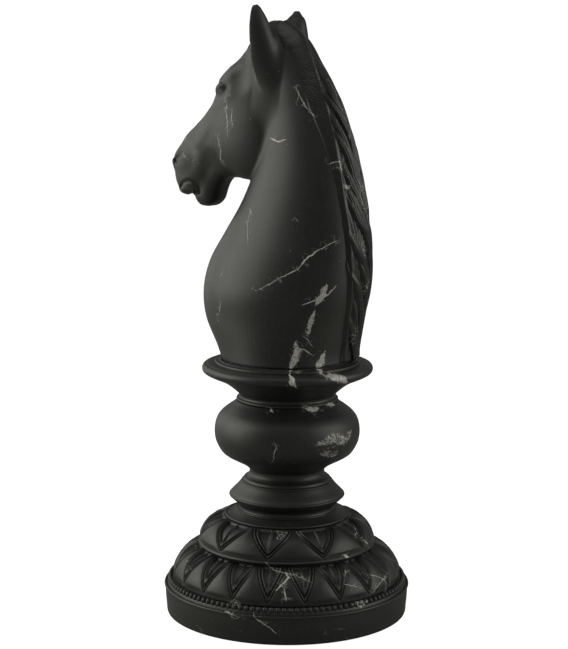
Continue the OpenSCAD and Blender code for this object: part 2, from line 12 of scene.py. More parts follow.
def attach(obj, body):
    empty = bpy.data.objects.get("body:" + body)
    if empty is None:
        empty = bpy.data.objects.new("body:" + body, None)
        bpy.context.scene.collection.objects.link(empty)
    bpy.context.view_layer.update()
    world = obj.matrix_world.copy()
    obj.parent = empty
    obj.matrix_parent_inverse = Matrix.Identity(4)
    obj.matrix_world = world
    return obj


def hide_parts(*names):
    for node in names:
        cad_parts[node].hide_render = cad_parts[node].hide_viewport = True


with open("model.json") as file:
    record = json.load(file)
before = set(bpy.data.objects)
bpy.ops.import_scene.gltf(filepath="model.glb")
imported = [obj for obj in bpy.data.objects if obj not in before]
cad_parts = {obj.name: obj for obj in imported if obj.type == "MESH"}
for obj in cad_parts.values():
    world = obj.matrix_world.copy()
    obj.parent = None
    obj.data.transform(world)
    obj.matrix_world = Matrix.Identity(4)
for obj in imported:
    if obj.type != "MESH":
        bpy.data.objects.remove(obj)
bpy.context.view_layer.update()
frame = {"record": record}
MM = 0.001
TAU = 2 * math.pi


# ---------------------------------------------------------------- mesh helpers

def make_object(name, points_mm, faces, body, sharp=0):
    """A closed mesh object from points in mm, riding on a CAD body.

    faces is an array of quads, where a repeated last corner makes a triangle. They may all
    face inwards, and are then turned. Edges bent by more than sharp degrees stay sharp.
    """
    mesh = bpy.data.meshes.new(name)
    pts = np.asarray(points_mm, np.float32) * MM
    a, b, c, d = (pts[faces[:, k]].astype(float) for k in range(4))
    volume = (a * np.cross(b, c)).sum() + (a * np.cross(c, d)).sum()
    if volume < 0:
        faces = faces[:, [1, 0, 3, 2]]
    corners = np.ones(faces.shape, bool)
    corners[faces[:, 2] == faces[:, 3], 3] = False
    size = corners.sum(axis=1)
    mesh.vertices.add(len(pts))
    mesh.vertices.foreach_set("co", pts.ravel())
    mesh.loops.add(int(size.sum()))
    mesh.loops.foreach_set("vertex_index", faces[corners].astype(np.int32))
    mesh.polygons.add(len(faces))
    mesh.polygons.foreach_set("loop_start", (np.cumsum(size) - size).astype(np.int32))
    mesh.update(calc_edges=True)
    mesh.validate(clean_customdata=False)
    mesh.shade_smooth()
    if sharp:
        mesh.set_sharp_from_angle(angle=math.radians(sharp))
    obj = bpy.data.objects.new(name, mesh)
    bpy.context.scene.collection.objects.link(obj)
    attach(obj, body)
    return obj


def grid_faces(m, n, close_m=False):
    """Quads of m rings of n points each. close_m joins the last ring to the first."""
    i = np.arange(m if close_m else m - 1)[:, None]
    j = np.arange(n)[None, :]
    after = (i + 1) % m
    a, b = i * n + j, i * n + (j + 1) % n
    c, d = after * n + (j + 1) % n, after * n + j
    return np.stack([np.broadcast_to(v, (i.size, n)) for v in (a, b, c, d)], -1).reshape(-1, 4)


def spline(points, steps):
    """Catmull-Rom through the rows of points."""
    p = np.asarray(points, float)
    out = []
    for i in range(len(p) - 1):
        a, b, c, d = p[max(i - 1, 0)], p[i], p[i + 1], p[min(i + 2, len(p) - 1)]
        for k in range(steps):
            t = k / steps
            out.append(0.5 * (2 * b + (c - a) * t + (2 * a - 5 * b + 4 * c - d) * t * t
                              + (3 * b - a - 3 * c + d) * t ** 3))
    out.append(p[-1])
    return np.array(out)


def capped(rings):
    """Closed skin over an (m, n, 3) array of rings: its points, and its faces as quads."""
    m, n = rings.shape[:2]
    pts = np.vstack([rings.reshape(-1, 3), rings[0].mean(0), rings[-1].mean(0)])
    i = np.arange(n)
    j, last = (i + 1) % n, (m - 1) * n
    low, high = np.full(n, m * n), np.full(n, m * n + 1)
    caps = [np.stack([j, i, low, low], -1), np.stack([last + i, last + j, high, high], -1)]
    return pts, np.vstack([grid_faces(m, n)] + caps)


def revolved(name, radius, height, theta, sharp):
    """A ring-shaped solid of the base: radius and height in mm, by profile point and by angle."""
    pts = np.stack([radius * np.cos(theta), radius * np.sin(theta), height], -1)
    return make_object(name, pts.reshape(-1, 3), grid_faces(*radius.shape, close_m=True), "base", sharp)


def lathe(name, profile, steps=384, sharp=34):
    """A turned section from a closed profile of (radius, height) points in mm."""
    theta = np.linspace(0, TAU, steps, endpoint=False)
    radius, height = (np.repeat(column[:, None], steps, 1) for column in np.asarray(profile, float).T)
    return revolved(name, radius, height, theta, sharp)


def arc(radius, height, half_width, half_height, start, end, count):
    """Points of an elliptic arc in a profile, between two angles in degrees."""
    angles = np.radians(np.linspace(start, end, count))
    return [(radius + half_width * math.cos(a), height + half_height * math.sin(a)) for a in angles]


def rounded(points, steps=5):
    """Smooth curve through profile points."""
    return [tuple(p) for p in spline(points, steps)]


# ---------------------------------------------------------------- horse: lofts and fields

# Stations of the neck from its foot to the poll, in mm:
# [front forward, front height, back forward, back height, half width, fullness, lean]
NECK = [
    [117, 462, -117, 462, 117, 1.0, 0.0],
    [129, 484, -119, 486, 116, 1.0, 0.0],
    [158, 530, -131, 536, 116, 1.0, 0.0],
    [164, 580, -144, 590, 118, 1.0, 0.0],
    [152, 630, -149, 650, 107, 0.98, 0.0],
    [121, 681, -147, 705, 92, 0.97, 0.0],
    [86, 735, -136, 770, 78, 0.96, 0.0],
    [62, 790, -119, 838, 65, 0.96, 0.0],
    [50, 850, -95, 904, 54, 0.97, 0.0],
    [44, 905, -64, 962, 45, 0.98, 0.0],
    [40, 950, -31, 1016, 38, 1.0, 0.0],
    [40, 985, 8, 1040, 27, 1.0, 0.0],
    [40, 1005, 26, 1040, 14, 1.0, 0.0]]

# Stations of the head from behind the jaw to the lips. Here "front" is the jaw side
# and "back" is the face side.
HEAD = [
    [2, 930, 6, 1018, 24, 1.0, 0.0],
    [-2, 880, 24, 1040, 42, 0.97, -0.04],
    [6, 828, 52, 1026, 52, 0.93, -0.08],
    [28, 792, 84, 994, 56, 0.90, -0.10],
    [58, 777, 112, 958, 57, 0.88, -0.14],
    [88, 774, 134, 930, 53, 0.88, -0.12],
    [114, 774, 155, 908, 47, 0.90, -0.06],
    [135, 771, 179, 884, 41, 0.92, 0.0],
    [149, 763, 203, 864, 37, 0.93, 0.04],
    [160, 752, 225, 845, 36.5, 0.93, 0.05],
    [169, 744, 239, 820, 37, 0.92, 0.02],
    [178, 740, 246, 793, 36, 0.92, -0.02],
    [189, 739, 242, 765, 32, 0.92, -0.04],
    [204, 739, 233, 747, 20, 1.0, 0.0]]


def skin_points(table, u, angle, out=0.0):
    """Points on the skin at place u of a smoothed station table.

    angle is in degrees: 0 front, 90 the horse's left, 180 back. out is a height over the skin.
    The horse faces -Y and its left is +X.
    """
    x = np.linspace(0, 1, len(table))
    ff, fz, bf, bz, w, full, lean = (np.interp(u, x, table[:, k]) for k in range(7))
    mid_f, mid_z = (ff + bf) / 2, (fz + bz) / 2
    half_f, half_z = (ff - bf) / 2, (fz - bz) / 2
    ln = np.hypot(half_f, half_z)
    c, s = np.cos(np.radians(angle)), np.sin(np.radians(angle))
    reach = np.sign(c) * np.abs(c) ** full * np.maximum(ln + out, 1) / ln
    side = np.sign(s) * np.abs(s) ** full * np.maximum(w + out, 1) * (1 + lean * c)
    return np.stack([side, -(mid_f + half_f * reach), mid_z + half_z * reach], -1)


def loft(stations, n=96, steps=6):
    """Closed skin over stations of the neck or head."""
    table = spline(stations, steps)
    u = np.linspace(0, 1, len(table))[:, None]
    angle = np.linspace(0, 360, n, endpoint=False)[None, :]
    return capped(skin_points(table, np.repeat(u, n, 1), np.repeat(angle, len(table), 0)))


class Field:
    """Signed distances in mm on a regular grid, negative inside."""

    def __init__(self, low, high, vox, band=14):
        self.low, self.vox, self.band = np.array(low, float), vox, band * vox
        self.shape = tuple(int(math.ceil((h - l) / vox)) + 1 for l, h in zip(low, high))
        self.d = np.full(self.shape, self.band, np.float32)
        self.axes = [self.low[k] + vox * np.arange(self.shape[k], dtype=np.float32) for k in range(3)]

    def from_mesh(self, pts, faces):
        """Signed distances of this grid's points to a closed mesh."""
        cap = faces[:, 2] == faces[:, 3]
        grid = vdb.FloatGrid.createLevelSetFromPolygons(
            ((pts - self.low) / self.vox).astype(np.float32),
            quads=faces[~cap].astype(np.uint32), triangles=faces[cap, :3].astype(np.uint32),
            halfWidth=self.band / self.vox)
        out = np.full(self.shape, self.band / self.vox, np.float32)
        grid.copyToArray(out)
        return out * self.vox

    def window(self, low, high):
        """Slices and coordinates of the part of the grid inside a box."""
        i0 = [max(int((low[k] - self.low[k]) / self.vox), 0) for k in range(3)]
        i1 = [min(int((high[k] - self.low[k]) / self.vox) + 2, self.shape[k]) for k in range(3)]
        cut = tuple(slice(a, b) for a, b in zip(i0, i1))
        x, y, z = (self.axes[k][cut[k]] for k in range(3))
        return cut, x[:, None, None], y[None, :, None], z[None, None, :]

    def each_side(self, low, high, shape, blend, cut=False):
        """Adds a shape near both sides of the head, or cuts it away.

        shape(x, y, z) gives the distance for the left side; low and high bound it.
        """
        for s in (1, -1):
            lo = (low[0] if s > 0 else -high[0], low[1], low[2])
            hi = (high[0] if s > 0 else -low[0], high[1], high[2])
            part, x, y, z = self.window(lo, hi)
            d = shape(x * s, y, z)
            self.d[part] = smooth_max(self.d[part], -d, blend) if cut else smooth_min(self.d[part], d, blend)

    def reach(self, forward, height):
        """How far out to the left the surface lies at a place."""
        row = int(round((-forward - self.low[1]) / self.vox))
        level = int(round((height - self.low[2]) / self.vox))
        inside = np.flatnonzero(self.d[:, row, level] < 0)
        return float(self.axes[0][inside[-1]]) if inside.size else 0.0

    def mesh(self):
        """Points in mm and quads of the skin where the distance is zero."""
        grid = vdb.FloatGrid(self.band)
        grid.copyFromArray(np.ascontiguousarray(self.d, np.float32))
        pts, quads = grid.convertToQuads(0.0)
        return np.asarray(pts, float) * self.vox + self.low, np.asarray(quads, np.int64)


def smooth_min(a, b, k):
    """Union of two fields with a fillet about k mm wide."""
    h = np.clip(0.5 + 0.5 * (b - a) / k, 0, 1)
    return b * (1 - h) + a * h - k * h * (1 - h)


def smooth_max(a, b, k):
    """Intersection of two fields with a fillet about k mm wide."""
    return -smooth_min(-a, -b, k)


def step(a, b, x):
    """Smooth rise from 0 at a to 1 at b."""
    t = np.clip((x - a) / (b - a), 0, 1)
    return t * t * (3 - 2 * t)


def at(side, forward, height):
    """Scene point in mm from side (left +), forward and height."""
    return np.array([side, -forward, height], float)


def ellipsoid(centre, radii, tilt=0.0, swing=0.0):
    """Distance function of an ellipsoid with radii (side, forward, height).

    tilt turns it about the side axis, nose down, and swing about the vertical, in degrees.
    """
    rot = np.array(Matrix.Rotation(math.radians(swing), 3, "Z") @ Matrix.Rotation(math.radians(tilt), 3, "X"))
    r = np.array(radii, np.float32)

    def distance(x, y, z):
        p = np.stack(np.broadcast_arrays(x - centre[0], y - centre[1], z - centre[2]), -1) @ rot
        k0 = np.linalg.norm(p / r, axis=-1)
        return k0 * (k0 - 1) / np.maximum(np.linalg.norm(p / (r * r), axis=-1), 1e-6)
    return distance


def block(centre, half, corner):
    """Distance function of a box with rounded corners, half sizes (side, forward, height)."""
    def distance(x, y, z):
        q = np.broadcast_arrays(*(np.abs(p - c) - h + corner for p, c, h in zip((x, y, z), centre, half)))
        outside = np.sqrt(sum(np.maximum(v, 0) ** 2 for v in q))
        return outside + np.minimum(np.maximum.reduce(q), 0) - corner
    return distance


def on_skin(head, places, out):
    """Points on the left of the head at (forward, height) places, out mm over its surface."""
    return [at(head.reach(f, h) + out, f, h) for f, h in places]


def tube(path, radii):
    """Distance function of a smooth chain of round cones. The radii are spread along the path."""
    path = spline(path, 4)
    radii = np.interp(np.linspace(0, 1, len(path)), np.linspace(0, 1, len(radii)), radii)

    def distance(x, y, z):
        best = None
        for a, b, ra, rb in zip(path[:-1], path[1:], radii[:-1], radii[1:]):
            ab = b - a
            px, py, pz = x - a[0], y - a[1], z - a[2]
            t = np.clip((px * ab[0] + py * ab[1] + pz * ab[2]) / (ab @ ab), 0, 1)
            square = (px - t * ab[0]) ** 2 + (py - t * ab[1]) ** 2 + (pz - t * ab[2]) ** 2
            d = np.sqrt(square) - (ra + (rb - ra) * t)
            best = d if best is None else np.minimum(best, d)
        return best
    return distance


# ---------------------------------------------------------------- horse: head and neck

EYE = at(47, 106, 929)
NEAR_EAR_TIP, FAR_EAR_TIP = 1078, 1067
NECK_FOOT = 462.2
CORE_RADIUS, CORE_TOP = 100.5, 502        # the recess for the neck core


def ear(side, tip_z):
    """A cupped leaf with thickness, opening forward and a little outward."""
    rows, cols, thick = 34, 31, 6.0
    t = np.linspace(0, 1, rows)
    # Stations from root to tip: side, forward, height, half width, depth, half opening angle.
    shape = spline([[33, 2, 930, 8, 12, 105], [37, 8, 958, 19, 27, 104], [41, 14, 985, 24, 33, 98],
                    [47, 19, 1015, 24, 31, 90], [54, 25, 1047, 19, 24, 84], [58.5, 28, tip_z - 9, 11, 13, 78],
                    [60, 29, tip_z - 1, 4.5, 5, 76]], rows)
    shape = shape[np.linspace(0, len(shape) - 1, rows).astype(int)]
    centre = np.stack([shape[:, 0], -shape[:, 1], shape[:, 2]], -1)
    width, depth = shape[:, 3], shape[:, 4]
    spread = np.radians(shape[:, 5])[:, None]
    wide = np.array([0.985, 0.12, -0.1])
    wide /= np.linalg.norm(wide)
    up = np.array([0.14, -0.17, 0.97])
    back = np.cross(up, wide)
    back /= np.linalg.norm(back)
    angle = np.linspace(-1, 1, cols)[None, :] * spread
    across = np.sin(angle)[..., None] * wide + np.cos(angle)[..., None] * back
    middle = centre[:, None] + (np.sin(angle) * width[:, None])[..., None] * wide \
        + ((np.cos(angle) - 0.4) * depth[:, None])[..., None] * back
    half = (thick / 2 * (1 - 0.35 * t))[:, None, None]
    rings = np.concatenate([middle + across * half, (middle - across * half)[:, ::-1]], 1)
    rings[..., 0] *= side
    return capped(rings)


def face_features(head):
    """Jowl, skull, brow, eye, nostril, lips and chin of the head, on both sides."""
    head.each_side((-30, -160, 740), (80, 30, 970), ellipsoid(at(26, 64, 851), (34, 70, 76), -8), 14)
    head.each_side((-30, -190, 850), (80, 0, 1020), ellipsoid(at(4, 90, 928), (48, 66, 34), 46), 14)
    # Ridge over the eye, and the hollow behind it.
    head.each_side((0, -150, 890), (80, -40, 1000),
                   tube([at(34, 70, 968), at(38, 90, 958), at(41, 107, 944)], [8, 9.5, 8]), 16)
    head.each_side((20, -115, 910), (90, -20, 1010),
                   ellipsoid(at(72, 64, 950), (14, 17, 14), 30), 22, cut=True)
    head.each_side((0, -240, 780), (75, -80, 940),
                   tube([at(36, 118, 898), at(33, 145, 865), at(29, 172, 836)], [6, 4, 2]), 20)
    # Hollow behind the corner of the mouth.
    head.each_side((10, -200, 745), (100, -90, 880),
                   ellipsoid(at(60, 146, 788), (24, 25, 33), 12), 18, cut=True)
    eye(head)
    nostril(head)
    lips(head)


def eye(head):
    """An eyeball in its socket between two lids, with a crease over the upper one."""
    along, over = np.array([0, -0.92, -0.39]), np.array([0, -0.39, 0.92])
    low, high = (10, -160, 885), (80, -60, 980)
    head.each_side(low, high, ellipsoid(EYE + [13, 0, 0], (11, 18, 11), 23), 7, cut=True)
    head.each_side(low, high, ellipsoid(EYE - [6.0, 0, 0], (13.5, 15, 13.5)), 2.0)
    # Upper lid: a thick fold that overhangs the eyeball, with a crease over it. Lower lid: thinner.
    for sign, lift, thick in ((1, 8.5, [2.4, 4.2, 3.4]), (-1, 8.5, [2.0, 2.6, 2.2])):
        lid = [EYE - 19 * along - 3 * over + [0.5, 0, 0],
               EYE - 10 * along + sign * lift * 0.75 * over + [3.5, 0, 0],
               EYE + sign * lift * over + [4.5, 0, 0],
               EYE + 10 * along + sign * lift * 0.7 * over + [1, 0, 0],
               EYE + 19 * along - 3 * over - [6, 0, 0]]
        head.each_side(low, high, tube(lid, thick), 3)
    crease = [EYE - 19 * along + 7 * over + [3, 0, 0], EYE - 8 * along + 14 * over + [5, 0, 0],
              EYE + 16.5 * over + [5, 0, 0], EYE + 15 * along + 12 * over - [2, 0, 0]]
    head.each_side(low, high, tube(crease, [1.0, 1.8, 1.8, 1.0]), 4, cut=True)


def nostril(head):
    """A swollen nostril with a raised rim round a shallow hole."""
    low, high = (-20, -262, 755), (70, -180, 850)
    head.each_side(low, high, ellipsoid(at(21, 216, 803), (12.5, 21, 19), 20), 16)
    rim = [at(30, 214, 814), at(34, 225, 811), at(32, 234, 800), at(27, 234, 789)]
    head.each_side(low, high, tube(rim, [2.5, 3.6, 3.6, 2.5]), 6)
    head.each_side(low, high, ellipsoid(at(35, 231, 803), (5.5, 3, 7.5), 25, -20), 5, cut=True)


def lips(head):
    """Chin, rolled upper lip, the corner of the mouth and the mouth's slit."""
    low, high = (-40, -262, 705), (70, -110, 800)
    # Chin: a rounded block under the lower jaw.
    head.each_side(low, high, block(at(0, 178, 748.5), (20.5, 16.5, 25.5), 13), 14)
    heel = [at(10, 146, 780), at(10, 157, 762), at(9, 166, 745)]
    head.each_side(low, high, tube(heel, [13, 14, 16]), 14)
    # Upper lip: a rolled rim, with a groove over it that turns down to the corner of the mouth.
    head.each_side(low, high, ellipsoid(at(0, 214, 752), (30, 17, 13), -12), 8)
    roll = on_skin(head, [(190, 748), (200, 750), (212, 748)], -4.0)
    head.each_side(low, high, tube(roll, [4.8, 6.2, 5.4]), 6)
    groove = on_skin(head, [(224, 748), (211, 760), (196, 765), (186, 762), (180, 754), (180, 744)], 0.6)
    head.each_side(low, high, tube(groove, [1.2, 2.1, 2.5, 2.6, 2.6, 2.4]), 3.5, cut=True)
    slit = on_skin(head, [(188, 757), (186, 750), (188, 741)], 0.6)
    head.each_side(low, high, tube(slit, [1.0, 2.1, 2.3]), 1.5, cut=True)
    front = [at(22, 213, 750), at(14, 226, 749), at(-2, 231, 749)]
    head.each_side(low, high, tube(front, [7.5, 8.5, 9]), 5)
    mouth = on_skin(head, [(182, 745), (196, 740), (208, 739)], -2)
    mouth.append(at(-2, 212, 738))
    head.each_side(low, high, tube(mouth, [1.6, 2.6, 3.2, 3.2]), 3, cut=True)
    head.each_side(low, high, ellipsoid(at(-2, 222, 727), (34, 24, 11)), 3, cut=True)


def horse():
    """Neck and head with ears, as one skin with the recess of the neck core below."""
    vox = 1.8
    low, high = (-136, -262, 454), (136, 172, 1094)
    head = Field(low, high, vox)
    head.d = head.from_mesh(*loft(HEAD))
    face_features(head)
    whole = Field(low, high, vox)
    soft = (6 + 36 * step(850, 935, whole.axes[2]))[None, None, :]       # crisp only behind the jowl
    whole.d = smooth_min(whole.from_mesh(*loft(NECK)), head.d, soft)
    for side, tip_z in ((1, NEAR_EAR_TIP), (-1, FAR_EAR_TIP)):
        whole.d = smooth_min(whole.d, whole.from_mesh(*ear(side, tip_z)), 11)
    part, x, y, z = whole.window((-110, -110, 454), (110, 110, 510))
    recess = np.maximum(np.hypot(x, y) - CORE_RADIUS, z - CORE_TOP)
    whole.d[part] = np.maximum(whole.d[part], -recess)
    whole.d = np.maximum(whole.d, NECK_FOOT - whole.axes[2][None, None, :])
    return whole.mesh()


# ---------------------------------------------------------------- horse: mane

def wave(x):
    """Rounded strands with sharp grooves between them, -1 to 1, one per unit of x."""
    return 2 * np.abs(np.cos(math.pi * x)) ** 0.6 - 1


def drift(s, seed, period):
    """Smooth wandering value, about -1 to 1."""
    k = TAU * s / period
    return 0.5 * np.sin(k + seed * 2.1) + 0.3 * np.sin(1.7 * k + seed * 4.7) + 0.2 * np.sin(2.9 * k + seed)


# Where the locks of the mane start and where their tips end, in mm down from the poll.
LOCKS = [(-70, 62), (-40, 110), (-5, 152), (40, 198), (85, 246), (128, 290), (170, 330), (212, 374),
         (258, 418), (300, 458), (345, 502), (385, 542), (430, 588), (470, 634), (515, 686), (550, 740)]
# Ranks of locks, from the far edge to the crest: start and end place over the width, and lift in mm.
RANKS = [(0.74, 1.0, 0.0), (0.50, 0.88, 0.7), (0.24, 0.64, 1.4), (-0.02, 0.40, 2.1)]


def mane():
    """The mane: one closed skin over the back of the neck, raised into strands and locks.

    It starts at a ridge on the horse's left with a strip of short combed hair, and
    falls to the right of the crest in long S-curved locks.
    """
    rows, cols = ((760, 236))
    table = spline(NECK, 12)
    back = table[:, 2:4]
    run = np.concatenate([[0], np.cumsum(np.linalg.norm(np.diff(back, axis=0), axis=1))])
    last = 0.985
    u_of_run = np.linspace(0, 1, len(table))
    length = np.interp(last, u_of_run, run)
    down = np.linspace(0, length, rows)[:, None]          # mm from the poll end
    u = np.interp(length - down, run, u_of_run)
    near = np.interp(u, [0, 0.1, 0.27, 0.43, 0.52, 0.6, 0.68, 0.74, 0.82, 0.9, 1],
                     [176, 176, 168, 159, 153, 144, 132, 127, 121, 108, 96])
    far = np.interp(u, [0, 0.15, 0.4, 0.7, 0.85, 1], [244, 250, 256, 256, 258, 264])
    crest = np.interp(u, [0, 0.15, 0.37, 0.5, 0.62, 0.7, 0.77, 0.86, 1],
                      [186, 178, 168, 162, 164, 164, 172, 184, 184])
    t = np.linspace(0, 1, cols)[None, :]
    angle = near + (far - near) * t
    radius = np.interp(u, u_of_run, table[:, 4])
    arc = np.radians(angle - crest) * radius * 1.1          # mm across, from the crest
    left = np.radians(crest - near) * radius * 1.1

    # Short strands between the near ridge and the crest, leaning down towards the crest.
    inside = arc + left
    lean = 0.9 + 0.7 * step(80, 380, down)
    phase = (down - inside * lean + 5.0 * drift(down, 1, 53) + 1.1 * drift(inside + 0.6 * down, 2, 34)) / 5.6
    tuft = (down - inside * lean + 16 * drift(down, 5, 97) + 6 * drift(inside + 0.4 * down, 3, 41)) / 26
    patchy = 0.5 + 0.5 * drift(down + 0.7 * inside, 6, 150)
    fine = 0.10 + 0.34 * step(55, 120, down) - 0.20 * step(190, 330, down)
    strip = 1.6 + 2.0 * step(0, 16, inside) + fine * wave(phase) * step(1, 8, inside) * (0.35 + 0.65 * patchy)
    strip = strip + 0.32 * wave(tuft) * step(2, 12, inside) * patchy
    strip = strip + 3.6 * step(0.3, 1.0, inside / np.maximum(left, 1)) + 6.5 * step(0.8, 0.95, u)
    under = 3.6 + 0.9 * wave((arc + 5 * drift(down, 4, 120)) / 7.5) + 6.5 * step(0.8, 0.95, u)
    past = step(-5, 8, arc)
    height = strip * (1 - past) + under * past
    bare = np.maximum(1 - step(0, 5, inside), step(0.6, 0.64, t + 0.05 * drift(down, 9, 110)))
    height = height * (1 - bare) - 1.8 * bare

    # Long locks, in overlapping ranks: each runs down and a little outwards to a free tip.
    rng = np.random.default_rng(11)
    far_width = np.radians(far - crest) * radius * 1.1
    for rank, (near_end, far_end, lift) in enumerate(RANKS):
        for i, (start, tip) in enumerate(LOCKS):
            start = start + 34 * rng.random() - 24
            tip = tip + 11 * rank + 22 * rank * rng.random()
            k = (down - start) / (tip - start)
            wide = (7.0 + 5.5 * rng.random()) * (0.7 + 0.3 * step(0, 300, down))
            bend = step(-0.2, 0.85, k) - 0.14 * step(0.72, 1.0, k)
            place = near_end + (far_end - near_end) * bend + 0.10 * (rng.random() - 0.5)
            centre = far_width * place - 3 + 5.0 * drift(down, i + 20 * rank, 150)
            across = wide * np.sin(math.pi * np.clip(0.03 + 0.97 * k, 0, 1)) ** 0.6
            v = (arc - centre) / np.maximum(across, 0.5)
            on = (np.abs(v) < 1) & (k > 0) & (k < 1)
            crown = np.sqrt(np.clip(1 - v * v, 0, 1))
            ends = step(0, 0.3, k) * (1 - 0.45 * step(0.9, 1.0, k))
            strands = wave(v * (1.9 + 0.6 * rng.random()) + 0.4 * drift(down, i, 60) + rng.random())
            h = 2.6 + lift + (1.2 + 5.4 * ends) * crown + 0.8 * ends * strands * crown
            h = h * (0.5 + 0.5 * step(60, 190, down)) * (0.3 + 0.7 * step(0, 0.2, k))
            height = np.where(on, np.maximum(height, h), height)

    # Fade into the neck at both ends and past the last tips.
    ends = step(0, 16, down) * step(0, 5, length - down) * (1 - step(0.97, 1.0, t))
    height = height * ends - 4 * (1 - ends)

    outer = skin_points(table, np.repeat(u, cols, 1), angle, height)
    ti = np.linspace(0.985, 0.015, 14)[None, :]
    inner = skin_points(table, np.repeat(u, 14, 1), near + (far - near) * ti, np.full((rows, 14), -7.0))
    return make_object("mane", *capped(np.concatenate([outer, inner], 1)), "head")


def lock(line, up, width, thick, turn, cols=36):
    """A single lock of hair laid along a line of points with the given upward directions.

    turn, in radians, shifts the strands round it.
    """
    t = np.linspace(0, 1, len(line))
    ahead = np.gradient(line, axis=0)
    side = np.cross(ahead, up)
    side /= np.linalg.norm(side, axis=1)[:, None]
    taper = np.sin(math.pi * np.clip(0.015 + 0.965 * t, 0, 1)) ** 0.7
    a = np.linspace(0, TAU, cols, endpoint=False)[None, :]
    ripple = 1 + 0.10 * np.cos(7 * a + turn) * (np.sin(a) > -0.2)
    out_side = (np.cos(a) * ripple * width * taper[:, None])[..., None] * side[:, None]
    out_up = (np.sin(a) * ripple * thick * taper[:, None])[..., None] * up[:, None]
    return capped(line[:, None] + out_side + out_up)


def forelock(horse_points, horse_faces):
    """Short hair that falls forward between the ears, laid on the horse's skin."""
    skin = BVHTree.FromPolygons(horse_points.tolist(), horse_faces.tolist())
    pts, faces, start = [], [], 0
    # Each lock: where it starts to the left, how it sways, and its length.
    locks = [(-15, -5, 0.9), (-7, -2, 1.0), (1, 3, 1.1), (9, 1, 0.98), (16, 5, 0.86)]
    for k, (side, sway, reach) in enumerate(locks):
        t = np.linspace(0, reach, 30)
        forward = 20 + 70 * t
        height = 1056 - 10 * t - 58 * t ** 1.6
        across = side * (0.8 + 0.25 * t) + sway * np.sin(3.2 * t)
        near = [skin.find_nearest(Vector((x, -f, h))) for x, f, h in zip(across, forward, height)]
        line = np.array([hit[0] for hit in near])
        up = np.array([hit[1] for hit in near])
        sunk = 0.3 - 2.5 * (1 - t[:, None]) ** 3
        p, f = lock(line + sunk * up, up, 6.5, 3.6, k)
        pts.append(p)
        faces.append(f + start)
        start += len(p)
    return make_object("forelock", np.vstack(pts), np.vstack(faces), "head")


# ---------------------------------------------------------------- turned sections

# Heights of the seams between the sections, in mm.
PLINTH_TOP, TIER_SEAM, TIER_TOP, WAIST_TOP, BULB_TOP, COLLAR_TOP, SEAT_TOP = 56, 124, 176, 241, 385, 454, 460
SEAM = 0.1                                # each section starts this far over its seam
BEAD_RING, BEADS = 209, 120               # radius of the ring of beads, and their number
BEAD_HALF = (4.9, 4.75, 6.0)              # half sizes of a bead: outward, along the ring, upward


def plinth():
    """The drum, with its lip, its ledge and the hollow under its deck."""
    deck, land, well = PLINTH_TOP - 10, 17, 36
    profile = ([(205, 2), (213.2, 2), (214.6, 2.7), (215.2, 4.2)]
               + rounded([(215.5, 6), (216, 14), (217.4, 30), (218.2, 47)])
               + arc(217.6, 51.4, 2.4, 2.6, -70, 105, 10)
               + [(216.4, 53.6), (215.6, 52.6), (203, 52.4), (202, 53), (202, PLINTH_TOP),
                  (7, PLINTH_TOP), (7, deck), (well, deck), (well, land), (well + 8, land),
                  (well + 8, deck), (186, deck), (186, land), (205, land)])
    return lathe("plinth_drum", profile, steps=420)


def bead_strip():
    """The moulding that the beads stand on."""
    profile = ([(203.4, 52.5), (214.6, 52.5), (214.6, 54.2)] + arc(210.4, 55, 3.6, 4.5, 10, 80, 6)
               + [(207.5, 63.5), (203.4, 64.5)])
    return lathe("bead_moulding", profile, steps=360, sharp=38)


def beads():
    """All the beads as one mesh, each a plump spindle with slightly flattened ends."""
    u = np.linspace(0.1, math.pi - 0.1, 13)[:, None]
    v = np.linspace(0, TAU, 18, endpoint=False)[None, :]
    wide = np.sin(u) ** 0.9
    out, along, up = BEAD_HALF
    rings = [out * wide * np.cos(v), along * wide * np.sin(v), -up * np.cos(u)]
    one, face = capped(np.stack(np.broadcast_arrays(*rings), -1))
    pts, faces = [], []
    for k in range(BEADS):
        spin = np.array(Matrix.Rotation(TAU * k / BEADS, 3, "Z"))
        pts.append((one + [BEAD_RING, 0, PLINTH_TOP + 5]) @ spin.T)
        faces.append(face + k * len(one))
    return make_object("beads", np.vstack(pts), np.vstack(faces), "base")


def petal_relief(theta, v, count, phase, half_mm, length_mm):
    """Height in mm of the incised leaf pattern round a tier.

    v runs from the leaf tips near the foot (0) to the leaf tops (1). Leaves point down with
    two raised border ribs, a vein and hollow panels; smooth petals swell between them.
    """
    period = TAU / count
    off = np.abs((theta - math.radians(phase) + period / 2) % period - period / 2) / (period / 2)
    inside = step(-0.03, 0.03, v) * (1 - step(0.95, 1.04, v))
    vc = np.clip(v, 0, 1)
    edge = 0.95 * (1 - (1 - vc) ** 1.45)                             # bowed half width of a leaf, 0 to 1
    slope = length_mm / math.hypot(length_mm, half_mm)
    d = (off - edge) * half_mm * slope                               # mm, negative inside the leaf

    def rib(centre, width, high):
        return high * np.exp(-((d - centre) / width) ** 2)

    leaf = -1.6 * step(0.4, -1.4, d)
    leaf = leaf + rib(-2.7, 1.5, 2.7) + rib(-8.2, 1.7, 2.9) + rib(-0.1, 0.8, -1.2) + rib(-5.5, 1.0, -0.9)
    leaf = leaf - 1.5 * step(-9.0, -12.0, d)
    vein = np.exp(-(off * half_mm / 1.9) ** 2) * step(0.12, 0.3, vc) * 3.4
    vein = vein * step(-8.0, -10.8, d)
    petal = 2.2 * (1 - np.exp(-np.maximum(d, 0) / 7.0)) * step(0, 0.12, vc)
    return inside * np.where(d < 0.3, leaf + vein, petal)


